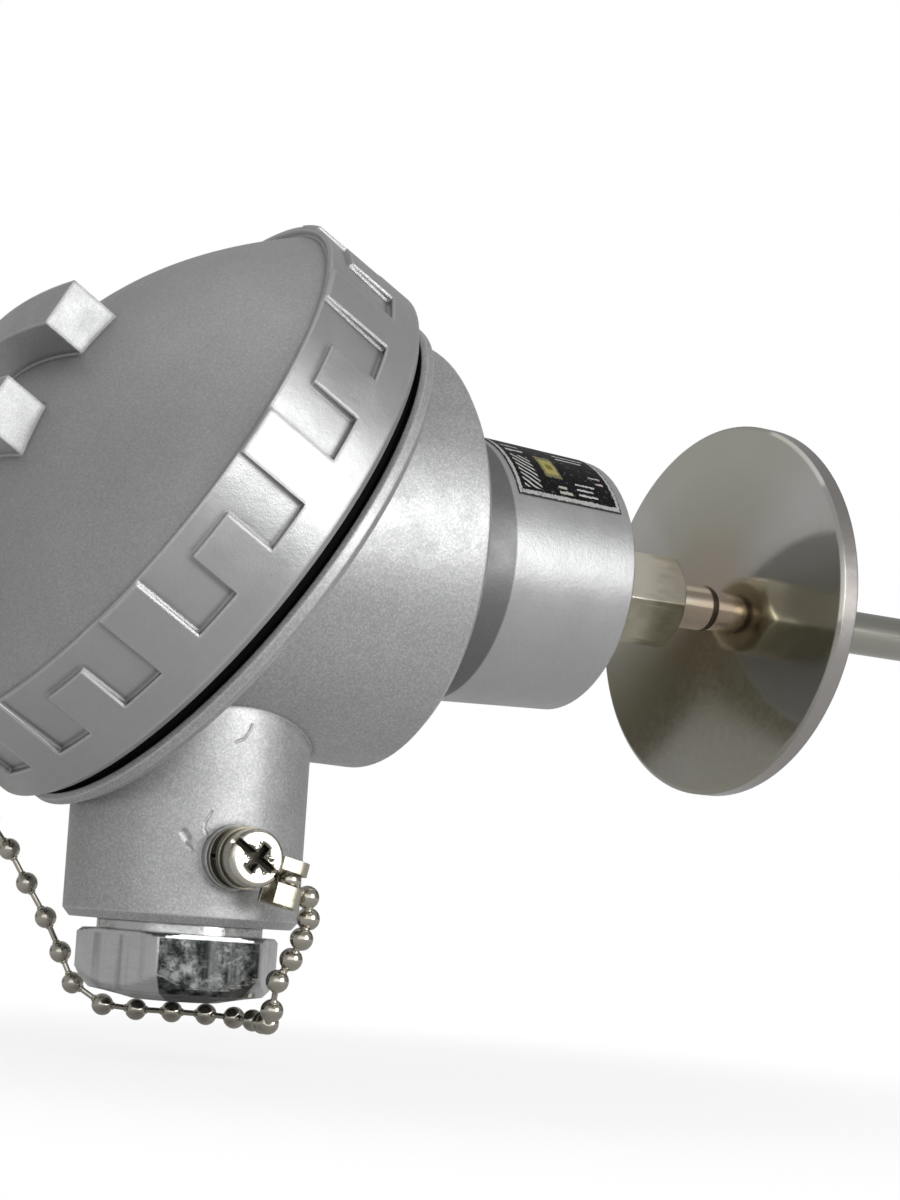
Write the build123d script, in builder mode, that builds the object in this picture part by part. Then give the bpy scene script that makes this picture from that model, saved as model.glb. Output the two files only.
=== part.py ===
"""Temperature probe with a cast connection head, an inclined screw cap,
a sanitary process flange and a thin closed stem. Lengths in millimetres.
Frame: +X along the stem towards its tip, +Z up, cable entry towards -Z.
Origin: centre of the flange's process face."""
from build123d import *
import math
import os

os.makedirs("parts", exist_ok=True)

# Stem and sensor insert
TUBE_D = 6.0
TUBE_WALL = 0.6
INSERT_LEN = 100.0
TIP_LEN = 1.4
TUBE_IN_FITTING = 16.0
ELEMENT_D = 3.4
ELEMENT_LEN = 5.0
ELEMENT_FROM_TIP = 7.5
CORE_FROM_TIP = 12.0
WIRE_D = 0.9
WIRE_Y = 1.1

# Process flange
FLANGE_D = 50.5
RIM_T = 2.85
FLANGE_RISE = 2.1
GROOVE_R = 21.8
GROOVE_W = 3.2
GROOVE_DEPTH = 1.3
WELD = 0.6

# Hex fitting
HEX_AF = 12.0
HEX_END_X = -8.0
HEX_TURN = 10.0
FITTING_THREAD_D = 10.0
FITTING_THREAD_LEN = 10.0

# Neck of the head
COLLAR_END_X = -28.5
COLLAR_END_R = 16.3
COLLAR_ROOT_X = -47.3
COLLAR_ROOT_R = 17.0
NECK_R = 16.2
COLLAR_EDGE = 0.5

# Neck label
LABEL_BACK = 1.2
LABEL_FRONT = 1.8
LABEL_T = 0.12
LABEL_START = 27.0
LABEL_SPAN = 126.0

# Housing
BODY_END_X = -56.8
BODY_R = 26.6
BODY_BACK_R = 25.9
BODY_EDGE = 0.8
BODY_WALL = 3.2
FLOOR_T = 3.4
CAP_TILT = 60.0
SEAM_X = -81.4
SEAM_Z = -1.7
GAP = 1.62
RING_EDGE = 1.3
RING_T = 2.4
MOUTH_R = 32.4
MOUTH_WALL = 3.1
MOUTH_H = 8.0

# Conduit boss
BOSS_X = -80.4
BOSS_R = 14.1
BOSS_END_Z = -47.3
BOSS_EDGE = 1.0
ENTRY_R = 8.1
ENTRY_DEPTH = 16.5
PASSAGE_R = 5.6

# Screw cap
CAP_SKIRT = 5.2
RIM_DRAFT = 0.5
RIM_H = 13.74
LIP_W = 1.1
LIP_STEP = 0.4
DOME_FOOT = 13.2
DOME_H = 28.65
CAP_WALL = 3.2
RELIEF_DEPTH = 0.6
RELIEF_LOW = 4.82
RELIEF_MID = 11.0
RELIEF_CELLS = 10
RELIEF_START = 183.0
LUG_IN = 3.8
LUG_OUT = 10.0
LUG_HALF = 11.5
LUG_TOP = 33.3
LUG_CROWN = 0.6
THREAD_GAP = 0.1
THREAD_H = 10.0

# Cap gasket
GASKET_IN_GAP = 0.15
GASKET_W = 2.25
GASKET_PLAY = 0.02

# Gland
NUT_AF = 22.0
NUT_RING_R = 8.9
NUT_RING_T = 1.5
NUT_HEX_H = 7.0
NUT_BORE_R = 4.7
NUT_STUB_LEN = 8.5
NUT_TURN = 23.3
STUB_GAP = 0.08
GROMMET_BORE_R = 4.3
PRESS_T = 1.0

# Chain screw on the boss
SCREW_ANGLE = -3.3
SCREW_UP = 7.9
PAD_R = 3.7
PAD_H = 0.9
WASHER_R = 3.6
WASHER_T = 0.8
SPRING_WASHER_R = 3.3
SPRING_WASHER_T = 1.3
HEAD_R = 3.3
HEAD_H = 2.8
SCREW_R = 2.0
SCREW_GRIP = 4.6
RECESS_W = 0.9
RECESS_LEN = 3.4
RECESS_DEPTH = 1.5

# Chain clip
CLIP_T = 0.5
CLIP_GAP = 2.8
CLIP_R = 3.3
CLIP_REACH = 6.9
CLIP_LAP = 3.0
CLIP_LOW = -4.7
CLIP_HIGH = 0.4
CLIP_BEND = 1.1
CLIP_SLOT = 1.8

# Bead chain
BEAD_R = 1.35
LINK_R = 0.35
LINK_GAP = 0.02
CHAIN_GAP = 0.7

# Cap eye
EYE_ANGLE = 70.5
EYE_H = 7.0
EYE_STAND = 2.3
EYE_R = 1.7
EYE_WIRE_R = 0.45
EYE_SHANK_R = 0.8
EYE_DEPTH = 2.4

# Terminal block
BLOCK_R = 17.5
BLOCK_H = 9.5
BLOCK_HOLE_R = 3.0
TERM_Y = 10.5
TERM_Z = 5.0
CLAMP_W = 7.0
CLAMP_B = 5.5
CLAMP_H = 6.0
CLAMP_SINK = 3.0
TERM_SCREW_R = 1.5
TERM_HEAD_R = 2.2
TERM_HEAD_H = 1.6
TERM_SLOT_W = 0.6
FIX_Z = 13.2
FIX_R = 1.5
FIX_HEAD_R = 2.75
FIX_HEAD_H = 2.0
FIX_TAP = 2.4
FIX_HOLE_R = 1.7
SPRING_H = 5.0
SPRING_WIRE = 0.35
SPRING_R = 2.2

# Shared geometry
tilt = math.radians(CAP_TILT)
cap_n = Vector(-math.sin(tilt), 0, math.cos(tilt))
cap_v = Vector(-math.cos(tilt), 0, -math.sin(tilt))
seam = Vector(SEAM_X, 0, SEAM_Z)
CAP = Plane(origin=seam, x_dir=(0, 1, 0), z_dir=cap_n)
CAP_SECTION = Plane(origin=seam, x_dir=cap_v, z_dir=(0, 1, 0))
CAP_SIDE = Plane(origin=seam, x_dir=(0, 1, 0), z_dir=cap_v * -1)
CAP_AXIS = Axis(seam, cap_n)
gasket_r = MOUTH_R + GASKET_IN_GAP + GASKET_W
ring_r = gasket_r + RING_EDGE
cap_r = MOUTH_R + THREAD_GAP + CAP_SKIRT
lip_r = cap_r - RIM_DRAFT
body_end = SEAM_X - BODY_R
dome_r = lip_r - LIP_W - LIP_STEP
cavity_r = BODY_R - BODY_WALL
floor_x = BODY_END_X - FLOOR_T
collar_slope = (COLLAR_ROOT_R - COLLAR_END_R) / (COLLAR_END_X - COLLAR_ROOT_X)

# Frame of the chain screw: x to the right, y up, z outwards
sa = math.radians(SCREW_ANGLE)
screw_out = Vector(math.sin(sa), -math.cos(sa), 0)
screw_right = Vector(math.cos(sa), math.sin(sa), 0)
screw_z = BOSS_END_Z + SCREW_UP
screw_base = Vector(BOSS_X, 0, screw_z) + screw_out * BOSS_R
SCREW = Plane(origin=screw_base, x_dir=screw_right, z_dir=screw_out)
z_washer = PAD_H
z_spring = z_washer + WASHER_T
z_clip = z_spring + SPRING_WASHER_T
z_top_washer = z_clip + CLIP_T
z_head = z_top_washer + WASHER_T

# Housing with neck, seam ring, threaded mouth and conduit boss
with BuildPart() as housing:
    with BuildSketch(Plane.XZ):
        with BuildLine():
            Polyline(
                (body_end, 0),
                (body_end, BODY_BACK_R),
                (BODY_END_X - BODY_EDGE, BODY_R),
                (BODY_END_X, BODY_R - BODY_EDGE),
                (BODY_END_X, NECK_R),
                (COLLAR_ROOT_X, COLLAR_ROOT_R),
                (COLLAR_END_X - COLLAR_EDGE, COLLAR_END_R + collar_slope * COLLAR_EDGE),
                (COLLAR_END_X, COLLAR_END_R - COLLAR_EDGE),
                (COLLAR_END_X, 0),
                close=True,
            )
        make_face()
    revolve(axis=Axis.X)
    with BuildSketch(Plane.XY.offset(BOSS_END_Z + BOSS_EDGE)):
        with Locations((BOSS_X, 0)):
            Circle(BOSS_R)
    extrude(amount=-BOSS_END_Z - BOSS_EDGE - 8.0)
    with BuildSketch(Plane.XY.offset(BOSS_END_Z + BOSS_EDGE)):
        with Locations((BOSS_X, 0)):
            Circle(BOSS_R)
    extrude(amount=-BOSS_EDGE, taper=40)
    with BuildSketch(SCREW.offset(-2.5)):
        Circle(PAD_R)
    extrude(amount=2.5 + PAD_H)
    # Everything in front of the seam ring is open
    with BuildSketch(CAP.offset(-GAP)):
        Rectangle(160, 160)
    extrude(amount=80, mode=Mode.SUBTRACT)
    with BuildSketch(CAP_SECTION):
        with BuildLine():
            Polyline(
                (0, -GAP),
                (ring_r - 0.5, -GAP),
                (ring_r, -GAP - 0.5),
                (ring_r, -GAP - RING_T + 0.9),
                (ring_r - 0.9, -GAP - RING_T),
                (0, -GAP - RING_T),
                close=True,
            )
        make_face()
    revolve(axis=CAP_AXIS)
    # Chamber, then the threaded mouth standing on the seam ring
    with BuildSketch(Plane.YZ.offset(floor_x)):
        Circle(cavity_r)
    extrude(amount=body_end - BODY_R - floor_x, mode=Mode.SUBTRACT)
    with BuildSketch(CAP.offset(-GAP - 1.0)):
        Circle(MOUTH_R)
        Circle(MOUTH_R - MOUTH_WALL, mode=Mode.SUBTRACT)
    extrude(amount=MOUTH_H + GAP + 1.0)
    # Neck bore and threaded seat of the hex fitting
    with BuildSketch(Plane.YZ.offset(floor_x)):
        Circle(FITTING_THREAD_D / 2)
    extrude(amount=COLLAR_END_X - floor_x, mode=Mode.SUBTRACT)
    # Cable entry
    with BuildSketch(Plane.XY.offset(BOSS_END_Z)):
        with Locations((BOSS_X, 0)):
            Circle(ENTRY_R)
    extrude(amount=ENTRY_DEPTH, mode=Mode.SUBTRACT)
    with BuildSketch(Plane.XY.offset(BOSS_END_Z)):
        with Locations((BOSS_X, 0)):
            Circle(PASSAGE_R)
    extrude(amount=ENTRY_DEPTH + 12, mode=Mode.SUBTRACT)
    # Tapped holes for the chain screw and the block screws
    with BuildSketch(SCREW.offset(PAD_H)):
        Circle(SCREW_R)
    extrude(amount=-SCREW_GRIP, mode=Mode.SUBTRACT)
    with BuildSketch(Plane.YZ.offset(floor_x)):
        with Locations((0, FIX_Z), (0, -FIX_Z)):
            Circle(FIX_R)
    extrude(amount=FIX_TAP, mode=Mode.SUBTRACT)
housing.part.label = "housing"
export_step(housing.part, "parts/housing.step")

# Eye on the cap's rim
ea = math.radians(EYE_ANGLE)
eye_out = Vector(0, 1, 0) * math.cos(ea) + cap_v * math.sin(ea)
rim_slope = RIM_DRAFT / (RIM_H - 1.15)
rim_r = cap_r - rim_slope * (EYE_H - 0.9)
eye_foot = seam + cap_n * EYE_H + eye_out * rim_r
eye_centre = eye_foot + eye_out * EYE_STAND
EYE_SHANK = Plane(origin=eye_foot, x_dir=cap_n, z_dir=eye_out)
EYE_RING = Plane(origin=eye_centre, x_dir=eye_out, z_dir=eye_out.cross(cap_n))

# Screw cap: rim, lip, dome, two lugs and square meander relief
dome_points = []
for k in range(8):
    r = dome_r * k / 7
    dome_points.append((r, DOME_H - (DOME_H - DOME_FOOT) * (r / dome_r) ** 2.3))

# The inside is a ball centred on the cap's axis
inner_h = DOME_H - CAP_WALL
inner_r = MOUTH_R - 1.4
ball_h = (inner_h ** 2 - inner_r ** 2 - THREAD_H ** 2) / (2 * (inner_h - THREAD_H))
inner_mid_h = ball_h + math.sqrt((inner_h - ball_h) ** 2 - (inner_r / 2) ** 2)

with BuildPart() as screw_cap:
    with BuildSketch(CAP_SECTION):
        with BuildLine():
            Spline(*dome_points)
            Polyline(
                (dome_r, DOME_FOOT),
                (lip_r - LIP_W, RIM_H - 0.25),
                (lip_r - LIP_W + 0.1, RIM_H),
                (lip_r - 0.25, RIM_H),
                (lip_r, RIM_H - 0.25),
                (cap_r, 0.9),
                (cap_r - 0.9, 0),
                (MOUTH_R + THREAD_GAP, 0),
                (MOUTH_R + THREAD_GAP, THREAD_H),
                (inner_r, THREAD_H),
            )
            ThreePointArc((inner_r, THREAD_H), (inner_r / 2, inner_mid_h), (0, inner_h))
            Line((0, inner_h), (0, DOME_H))
        make_face()
    revolve(axis=CAP_AXIS)
    # Two lugs with slightly crowned tops
    for start in (-LUG_OUT, LUG_IN):
        with BuildSketch(CAP_SIDE.offset(start)):
            with BuildLine():
                Polyline(
                    (-LUG_HALF, LUG_TOP - LUG_CROWN),
                    (-LUG_HALF, DOME_H - 2.9),
                    (LUG_HALF, DOME_H - 2.9),
                    (LUG_HALF, LUG_TOP - LUG_CROWN),
                )
                ThreePointArc(
                    (LUG_HALF, LUG_TOP - LUG_CROWN),
                    (0, LUG_TOP),
                    (-LUG_HALF, LUG_TOP - LUG_CROWN),
                )
            make_face()
        extrude(amount=LUG_OUT - LUG_IN)
    # Meander relief: a band open at the lip and two prongs in every cell
    unit = 360 / RELIEF_CELLS / 4
    for low, high, first, units in (
        (RELIEF_MID, RIM_H + 1, 0, 3),
        (RELIEF_LOW, RELIEF_MID, 0, 1),
        (RELIEF_LOW, RELIEF_MID, 2, 1),
    ):
        a1 = math.radians(unit * units)
        reach = cap_r * 1.4
        with BuildSketch(CAP.offset(low)):
            with PolarLocations(0, RELIEF_CELLS, start_angle=RELIEF_START + unit * first):
                Polygon(
                    (0, 0),
                    (reach, 0),
                    (reach * math.cos(a1), reach * math.sin(a1)),
                    align=None,
                )
            Circle(lip_r + 0.15 - RELIEF_DEPTH, mode=Mode.SUBTRACT)
        extrude(amount=high - low, mode=Mode.SUBTRACT)
    with BuildSketch(EYE_SHANK.offset(-EYE_DEPTH)):
        Circle(EYE_SHANK_R)
    extrude(amount=EYE_DEPTH + 2, mode=Mode.SUBTRACT)
screw_cap.part.label = "screw_cap"
export_step(screw_cap.part, "parts/screw_cap.step")

with BuildPart() as cap_eye:
    with BuildSketch(EYE_SHANK.offset(-EYE_DEPTH)):
        Circle(EYE_SHANK_R)
    extrude(amount=EYE_DEPTH + EYE_STAND - EYE_R)
    with BuildSketch(EYE_RING):
        with Locations((EYE_R, 0)):
            Circle(EYE_WIRE_R)
    revolve(axis=Axis(eye_centre, cap_n))
cap_eye.part.label = "cap_eye"
export_step(cap_eye.part, "parts/cap_eye.step")

# Flat rubber ring under the cap
with BuildPart() as cap_gasket:
    with BuildSketch(CAP.offset(-GAP)):
        Circle(gasket_r)
        Circle(MOUTH_R + GASKET_IN_GAP, mode=Mode.SUBTRACT)
    extrude(amount=GAP - GASKET_PLAY)
cap_gasket.part.label = "cap_gasket"
export_step(cap_gasket.part, "parts/cap_gasket.step")

# Neck label wrapped over the top of the collar
la = math.radians(LABEL_START)
LABEL_SECTION = Plane(
    origin=(0, 0, 0),
    x_dir=(1, 0, 0),
    z_dir=(0, -math.sin(la), -math.cos(la)),
)
label_x0 = COLLAR_ROOT_X + LABEL_BACK
label_x1 = COLLAR_END_X - LABEL_FRONT
label_r0 = COLLAR_ROOT_R - collar_slope * LABEL_BACK
label_r1 = COLLAR_END_R + collar_slope * LABEL_FRONT
with BuildPart() as neck_label:
    with BuildSketch(LABEL_SECTION):
        with BuildLine():
            Polyline(
                (label_x0, label_r0),
                (label_x1, label_r1),
                (label_x1, label_r1 + LABEL_T),
                (label_x0, label_r0 + LABEL_T),
                close=True,
            )
        make_face()
    revolve(axis=Axis((0, 0, 0), (-1, 0, 0)), revolution_arc=LABEL_SPAN)
neck_label.part.label = "neck_label"
export_step(neck_label.part, "parts/neck_label.step")

# Hex fitting screwed into the collar, the tube brazed into it
hex_r = HEX_AF / math.sqrt(3)
tube_head_x = HEX_END_X - TUBE_IN_FITTING
tube_bore = TUBE_D / 2 - TUBE_WALL
with BuildPart() as hex_fitting:
    with BuildSketch(Plane.YZ.offset(COLLAR_END_X)):
        RegularPolygon(hex_r, 6, rotation=HEX_TURN)
    extrude(amount=HEX_END_X - COLLAR_END_X)
    with BuildSketch(Plane.XZ):
        with BuildLine():
            Polyline(
                (COLLAR_END_X, 0),
                (COLLAR_END_X, hex_r - 0.7),
                (COLLAR_END_X + 0.5, hex_r + 0.1),
                (HEX_END_X - 0.7, hex_r + 0.1),
                (HEX_END_X, hex_r - 1.1),
                (HEX_END_X, 0),
                close=True,
            )
        make_face()
    revolve(axis=Axis.X, mode=Mode.INTERSECT)
    with BuildSketch(Plane.YZ.offset(COLLAR_END_X)):
        Circle(FITTING_THREAD_D / 2)
    extrude(amount=-FITTING_THREAD_LEN)
    with BuildSketch(Plane.YZ.offset(tube_head_x)):
        Circle(TUBE_D / 2)
    extrude(amount=TUBE_IN_FITTING, mode=Mode.SUBTRACT)
    with BuildSketch(Plane.YZ.offset(COLLAR_END_X - FITTING_THREAD_LEN)):
        Circle(tube_bore)
    extrude(amount=FITTING_THREAD_LEN + TUBE_IN_FITTING, mode=Mode.SUBTRACT)
hex_fitting.part.label = "hex_fitting"
export_step(hex_fitting.part, "parts/hex_fitting.step")

# Stem tube and its welded tip
tube_end_x = INSERT_LEN - TIP_LEN
with BuildPart() as stem_tube:
    with BuildSketch(Plane.YZ.offset(tube_head_x)):
        Circle(TUBE_D / 2)
        Circle(tube_bore, mode=Mode.SUBTRACT)
    extrude(amount=tube_end_x - tube_head_x)
stem_tube.part.label = "stem_tube"
export_step(stem_tube.part, "parts/stem_tube.step")

with BuildPart() as tip_plug:
    with BuildSketch(Plane.YZ.offset(tube_end_x)):
        Circle(TUBE_D / 2)
    extrude(amount=TIP_LEN)
    fillet(tip_plug.edges().group_by(Axis.X)[-1], radius=TIP_LEN * 0.55)
tip_plug.part.label = "tip_plug"
export_step(tip_plug.part, "parts/tip_plug.step")

# Process flange with a bevelled back and a half-round gasket groove
flange_r = FLANGE_D / 2
back_x = -RIM_T - FLANGE_RISE
groove_ball = (GROOVE_DEPTH ** 2 + (GROOVE_W / 2) ** 2) / (2 * GROOVE_DEPTH)
with BuildPart() as process_flange:
    with BuildSketch(Plane.XZ):
        with BuildLine():
            Polyline(
                (back_x, TUBE_D / 2),
                (-RIM_T - 0.03, flange_r - 0.5),
                (-RIM_T + 0.35, flange_r),
                (-0.35, flange_r),
                (0, flange_r - 0.35),
                (0, TUBE_D / 2 + WELD),
                (-WELD, TUBE_D / 2),
                close=True,
            )
        make_face()
        with Locations((groove_ball - GROOVE_DEPTH, GROOVE_R)):
            Circle(groove_ball, mode=Mode.SUBTRACT)
    revolve(axis=Axis.X)
process_flange.part.label = "process_flange"
export_step(process_flange.part, "parts/process_flange.step")

# Weld ground flush with the process face
with BuildPart() as flange_weld:
    with BuildSketch(Plane.XZ):
        with BuildLine():
            Polyline(
                (0, TUBE_D / 2),
                (-WELD, TUBE_D / 2),
                (0, TUBE_D / 2 + WELD),
                close=True,
            )
        make_face()
    revolve(axis=Axis.X)
flange_weld.part.label = "flange_weld"
export_step(flange_weld.part, "parts/flange_weld.step")

# Sensing element, two lead wires, insulator and potting
element_x = INSERT_LEN - ELEMENT_FROM_TIP
core_end_x = INSERT_LEN - CORE_FROM_TIP
block_top_x = floor_x - BLOCK_H
lead_x = block_top_x - (CLAMP_H - CLAMP_SINK) / 2
with BuildPart() as sensing_element:
    with BuildSketch(Plane.YZ.offset(element_x)):
        Circle(ELEMENT_D / 2)
    extrude(amount=ELEMENT_LEN)
    fillet(sensing_element.edges().group_by(Axis.X)[-1], radius=ELEMENT_D * 0.35)
sensing_element.part.label = "sensing_element"
export_step(sensing_element.part, "parts/sensing_element.step")

with BuildPart() as lead_wires:
    for side in (1, -1):
        with BuildLine() as lead:
            FilletPolyline(
                (element_x, side * WIRE_Y, 0),
                (lead_x, side * WIRE_Y, 0),
                (lead_x, side * (TERM_Y - CLAMP_W / 2 - 1.5), TERM_Z),
                (lead_x, side * (TERM_Y - CLAMP_W / 2), TERM_Z),
                radius=1.2,
            )
        with BuildSketch(Plane(origin=(element_x, side * WIRE_Y, 0), z_dir=(-1, 0, 0))):
            Circle(WIRE_D / 2)
        sweep(path=lead.wires()[0])
lead_wires.part.label = "lead_wires"
export_step(lead_wires.part, "parts/lead_wires.step")

with BuildPart() as insulator_core:
    with BuildSketch(Plane.YZ):
        Circle(tube_bore)
        with Locations((WIRE_Y, 0), (-WIRE_Y, 0)):
            Circle(WIRE_D / 2, mode=Mode.SUBTRACT)
    extrude(amount=core_end_x)
insulator_core.part.label = "insulator_core"
export_step(insulator_core.part, "parts/insulator_core.step")

with BuildPart() as tip_potting:
    with BuildSketch(Plane.YZ.offset(core_end_x)):
        Circle(tube_bore)
    extrude(amount=tube_end_x - core_end_x)
    with BuildSketch(Plane.YZ.offset(core_end_x)):
        with Locations((WIRE_Y, 0), (-WIRE_Y, 0)):
            Circle(WIRE_D / 2)
    extrude(amount=element_x - core_end_x, mode=Mode.SUBTRACT)
    add(sensing_element.part, mode=Mode.SUBTRACT)
tip_potting.part.label = "tip_potting"
export_step(tip_potting.part, "parts/tip_potting.step")

# Gland: nut, press ring and grommet
nut_top = BOSS_END_Z - NUT_RING_T
nut_low = nut_top - NUT_HEX_H
nut_r = NUT_AF / math.sqrt(3)
stub_top = BOSS_END_Z + NUT_STUB_LEN
with BuildPart() as gland_nut:
    with BuildSketch(Plane.XY.offset(nut_low)):
        with Locations((BOSS_X, 0)):
            RegularPolygon(nut_r, 6, rotation=NUT_TURN - 90)
    extrude(amount=NUT_HEX_H)
    with BuildSketch(Plane(origin=(BOSS_X, 0, 0), x_dir=(1, 0, 0), z_dir=(0, -1, 0))):
        with BuildLine():
            Polyline(
                (0, nut_low),
                (nut_r - 2.3, nut_low),
                (nut_r + 0.1, nut_low + 1.5),
                (nut_r + 0.1, nut_top),
                (0, nut_top),
                close=True,
            )
        make_face()
    revolve(axis=Axis((BOSS_X, 0, 0), (0, 0, 1)), mode=Mode.INTERSECT)
    with BuildSketch(Plane.XY.offset(nut_top)):
        with Locations((BOSS_X, 0)):
            Circle(NUT_RING_R)
    extrude(amount=NUT_RING_T)
    with BuildSketch(Plane.XY.offset(BOSS_END_Z)):
        with Locations((BOSS_X, 0)):
            Circle(ENTRY_R - STUB_GAP)
    extrude(amount=NUT_STUB_LEN)
    with BuildSketch(Plane.XY.offset(nut_low)):
        with Locations((BOSS_X, 0)):
            Circle(NUT_BORE_R)
    extrude(amount=stub_top - nut_low, mode=Mode.SUBTRACT)
    chamfer(gland_nut.edges().group_by(Axis.Z)[0].filter_by(GeomType.CIRCLE).sort_by(SortBy.RADIUS)[0], 0.8)
gland_nut.part.label = "gland_nut"
export_step(gland_nut.part, "parts/gland_nut.step")

with BuildPart() as gland_washer:
    with BuildSketch(Plane.XY.offset(stub_top)):
        with Locations((BOSS_X, 0)):
            Circle(ENTRY_R - STUB_GAP)
            Circle(NUT_BORE_R, mode=Mode.SUBTRACT)
    extrude(amount=PRESS_T)
gland_washer.part.label = "gland_washer"
export_step(gland_washer.part, "parts/gland_washer.step")

grommet_low = stub_top + PRESS_T
with BuildPart() as gland_grommet:
    with BuildSketch(Plane.XY.offset(grommet_low)):
        with Locations((BOSS_X, 0)):
            Circle(ENTRY_R)
            Circle(GROMMET_BORE_R, mode=Mode.SUBTRACT)
    extrude(amount=BOSS_END_Z + ENTRY_DEPTH - grommet_low)
gland_grommet.part.label = "gland_grommet"
export_step(gland_grommet.part, "parts/gland_grommet.step")

# Chain screw with its washers
with BuildPart() as chain_screw:
    with BuildSketch(SCREW.offset(z_head)):
        Circle(HEAD_R)
    extrude(amount=HEAD_H)
    fillet(chain_screw.edges().sort_by(Axis(screw_base, screw_out))[-1], radius=0.6)
    with BuildSketch(SCREW.offset(PAD_H - SCREW_GRIP)):
        Circle(SCREW_R)
    extrude(amount=z_head - PAD_H + SCREW_GRIP)
    with BuildSketch(SCREW.offset(z_head + HEAD_H)):
        Rectangle(RECESS_LEN, RECESS_W, rotation=55)
        Rectangle(HEAD_R * 2.2, RECESS_W, rotation=-35)
    extrude(amount=-RECESS_DEPTH, mode=Mode.SUBTRACT)
chain_screw.part.label = "chain_screw"
export_step(chain_screw.part, "parts/chain_screw.step")

with BuildPart() as flat_washers:
    for z0 in (z_washer, z_top_washer):
        with BuildSketch(SCREW.offset(z0)):
            Circle(WASHER_R)
            Circle(SCREW_R, mode=Mode.SUBTRACT)
        extrude(amount=WASHER_T)
flat_washers.part.label = "flat_washers"
export_step(flat_washers.part, "parts/flat_washers.step")

with BuildPart() as spring_washer:
    with BuildSketch(SCREW.offset(z_spring)):
        Circle(SPRING_WASHER_R)
        Circle(SCREW_R, mode=Mode.SUBTRACT)
        with Locations((-SPRING_WASHER_R, 0)):
            Rectangle(2 * (SPRING_WASHER_R - SCREW_R) + 0.4, 0.5, mode=Mode.SUBTRACT)
    extrude(amount=SPRING_WASHER_T)
spring_washer.part.label = "spring_washer"
export_step(spring_washer.part, "parts/spring_washer.step")

# Clip: sheet eyelet with a lap folded round the first bead
fold_x = CLIP_REACH - CLIP_T
clip_mid = (CLIP_LOW + CLIP_HIGH) / 2
clip_h = CLIP_HIGH - CLIP_LOW
clip_back = z_clip + CLIP_T / 2
clip_front = clip_back + CLIP_T + CLIP_GAP
bead0 = (fold_x - BEAD_R - 0.05, clip_mid)
clip_origin = screw_base + Vector(0, 0, clip_mid)
CLIP_SECTION = Plane(origin=clip_origin, x_dir=screw_right, z_dir=(0, 0, 1))
# Local y of the section points away from the eye of the onlooker
with BuildPart() as chain_clip:
    with BuildSketch(CLIP_SECTION):
        with BuildLine():
            FilletPolyline(
                (SCREW_R + 0.4, -clip_back),
                (CLIP_REACH - CLIP_T / 2, -clip_back),
                (CLIP_REACH - CLIP_T / 2, -clip_front),
                (CLIP_REACH - CLIP_LAP, -clip_front),
                radius=CLIP_BEND,
            )
        trace(line_width=CLIP_T)
    extrude(amount=clip_h / 2, both=True)
    with BuildSketch(SCREW.offset(z_clip)):
        Circle(CLIP_R)
    extrude(amount=CLIP_T)
    with BuildSketch(SCREW.offset(z_clip)):
        Circle(SCREW_R)
    extrude(amount=CLIP_T, mode=Mode.SUBTRACT)
    with BuildSketch(SCREW.offset(z_clip + CLIP_T)):
        with Locations((CLIP_REACH, clip_mid - 0.2)):
            Rectangle(2.4 * CLIP_BEND, CLIP_SLOT)
    extrude(amount=CLIP_GAP, mode=Mode.SUBTRACT)
chain_clip.part.label = "chain_clip"
export_step(chain_clip.part, "parts/chain_clip.step")

# Bead chain from the clip, under the gland and up to the cap's eye
chain_end = eye_centre + eye_out * (EYE_R + EYE_WIRE_R + BEAD_R + CHAIN_GAP)
chain_offsets = [
    (7.2, -18.6, 4.3),
    (8.1, -16.9, 1.6),
    (6.8, -17.9, -0.8),
    (7.0, -15.5, -3.2),
    (5.2, -15.2, -5.8),
    (5.9, -13.7, -9.5),
    (7.3, -10.2, -11.1),
    (8.8, -6.3, -11.1),
    (9.7, -2.2, -11.1),
    (9.3, 2.0, -11.1),
    (7.2, 5.6, -11.0),
    (3.6, 7.9, -11.0),
    (-0.6, 9.3, -11.0),
    (-4.6, 11.0, -10.9),
    (-7.7, 13.6, -8.6),
    (-8.9, 14.6, -4.6),
    (-10.8, 15.5, -0.5),
    (-13.2, 16.8, 3.5),
    (-15.3, 18.0, 7.5),
    (-17.6, 19.2, 11.5),
    (-21.2, 17.9, 11.1),
    (-24.6, 16.4, 11.8),
]
chain_points = [
    screw_base
    + screw_right * bead0[0]
    + Vector(0, 0, bead0[1])
    + screw_out * (z_clip + CLIP_T + CLIP_GAP / 2)
]
for dx, dy, dz in chain_offsets:
    chain_points.append(Vector(BOSS_X + dx, dy, BOSS_END_Z + dz))
chain_points.append(chain_end)
with BuildPart() as bead_chain:
    for point in chain_points:
        with Locations(point):
            Sphere(BEAD_R)
    # Each link runs from one bead's surface to the next
    for first, second in zip(chain_points[:-1], chain_points[1:]):
        step = second - first
        along = step.normalized()
        with BuildSketch(Plane(origin=first + along * (BEAD_R + LINK_GAP), z_dir=along)):
            Circle(LINK_R)
        extrude(amount=step.length - 2 * (BEAD_R + LINK_GAP))
bead_chain.part.label = "bead_chain"
export_step(bead_chain.part, "parts/bead_chain.step")

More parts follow.
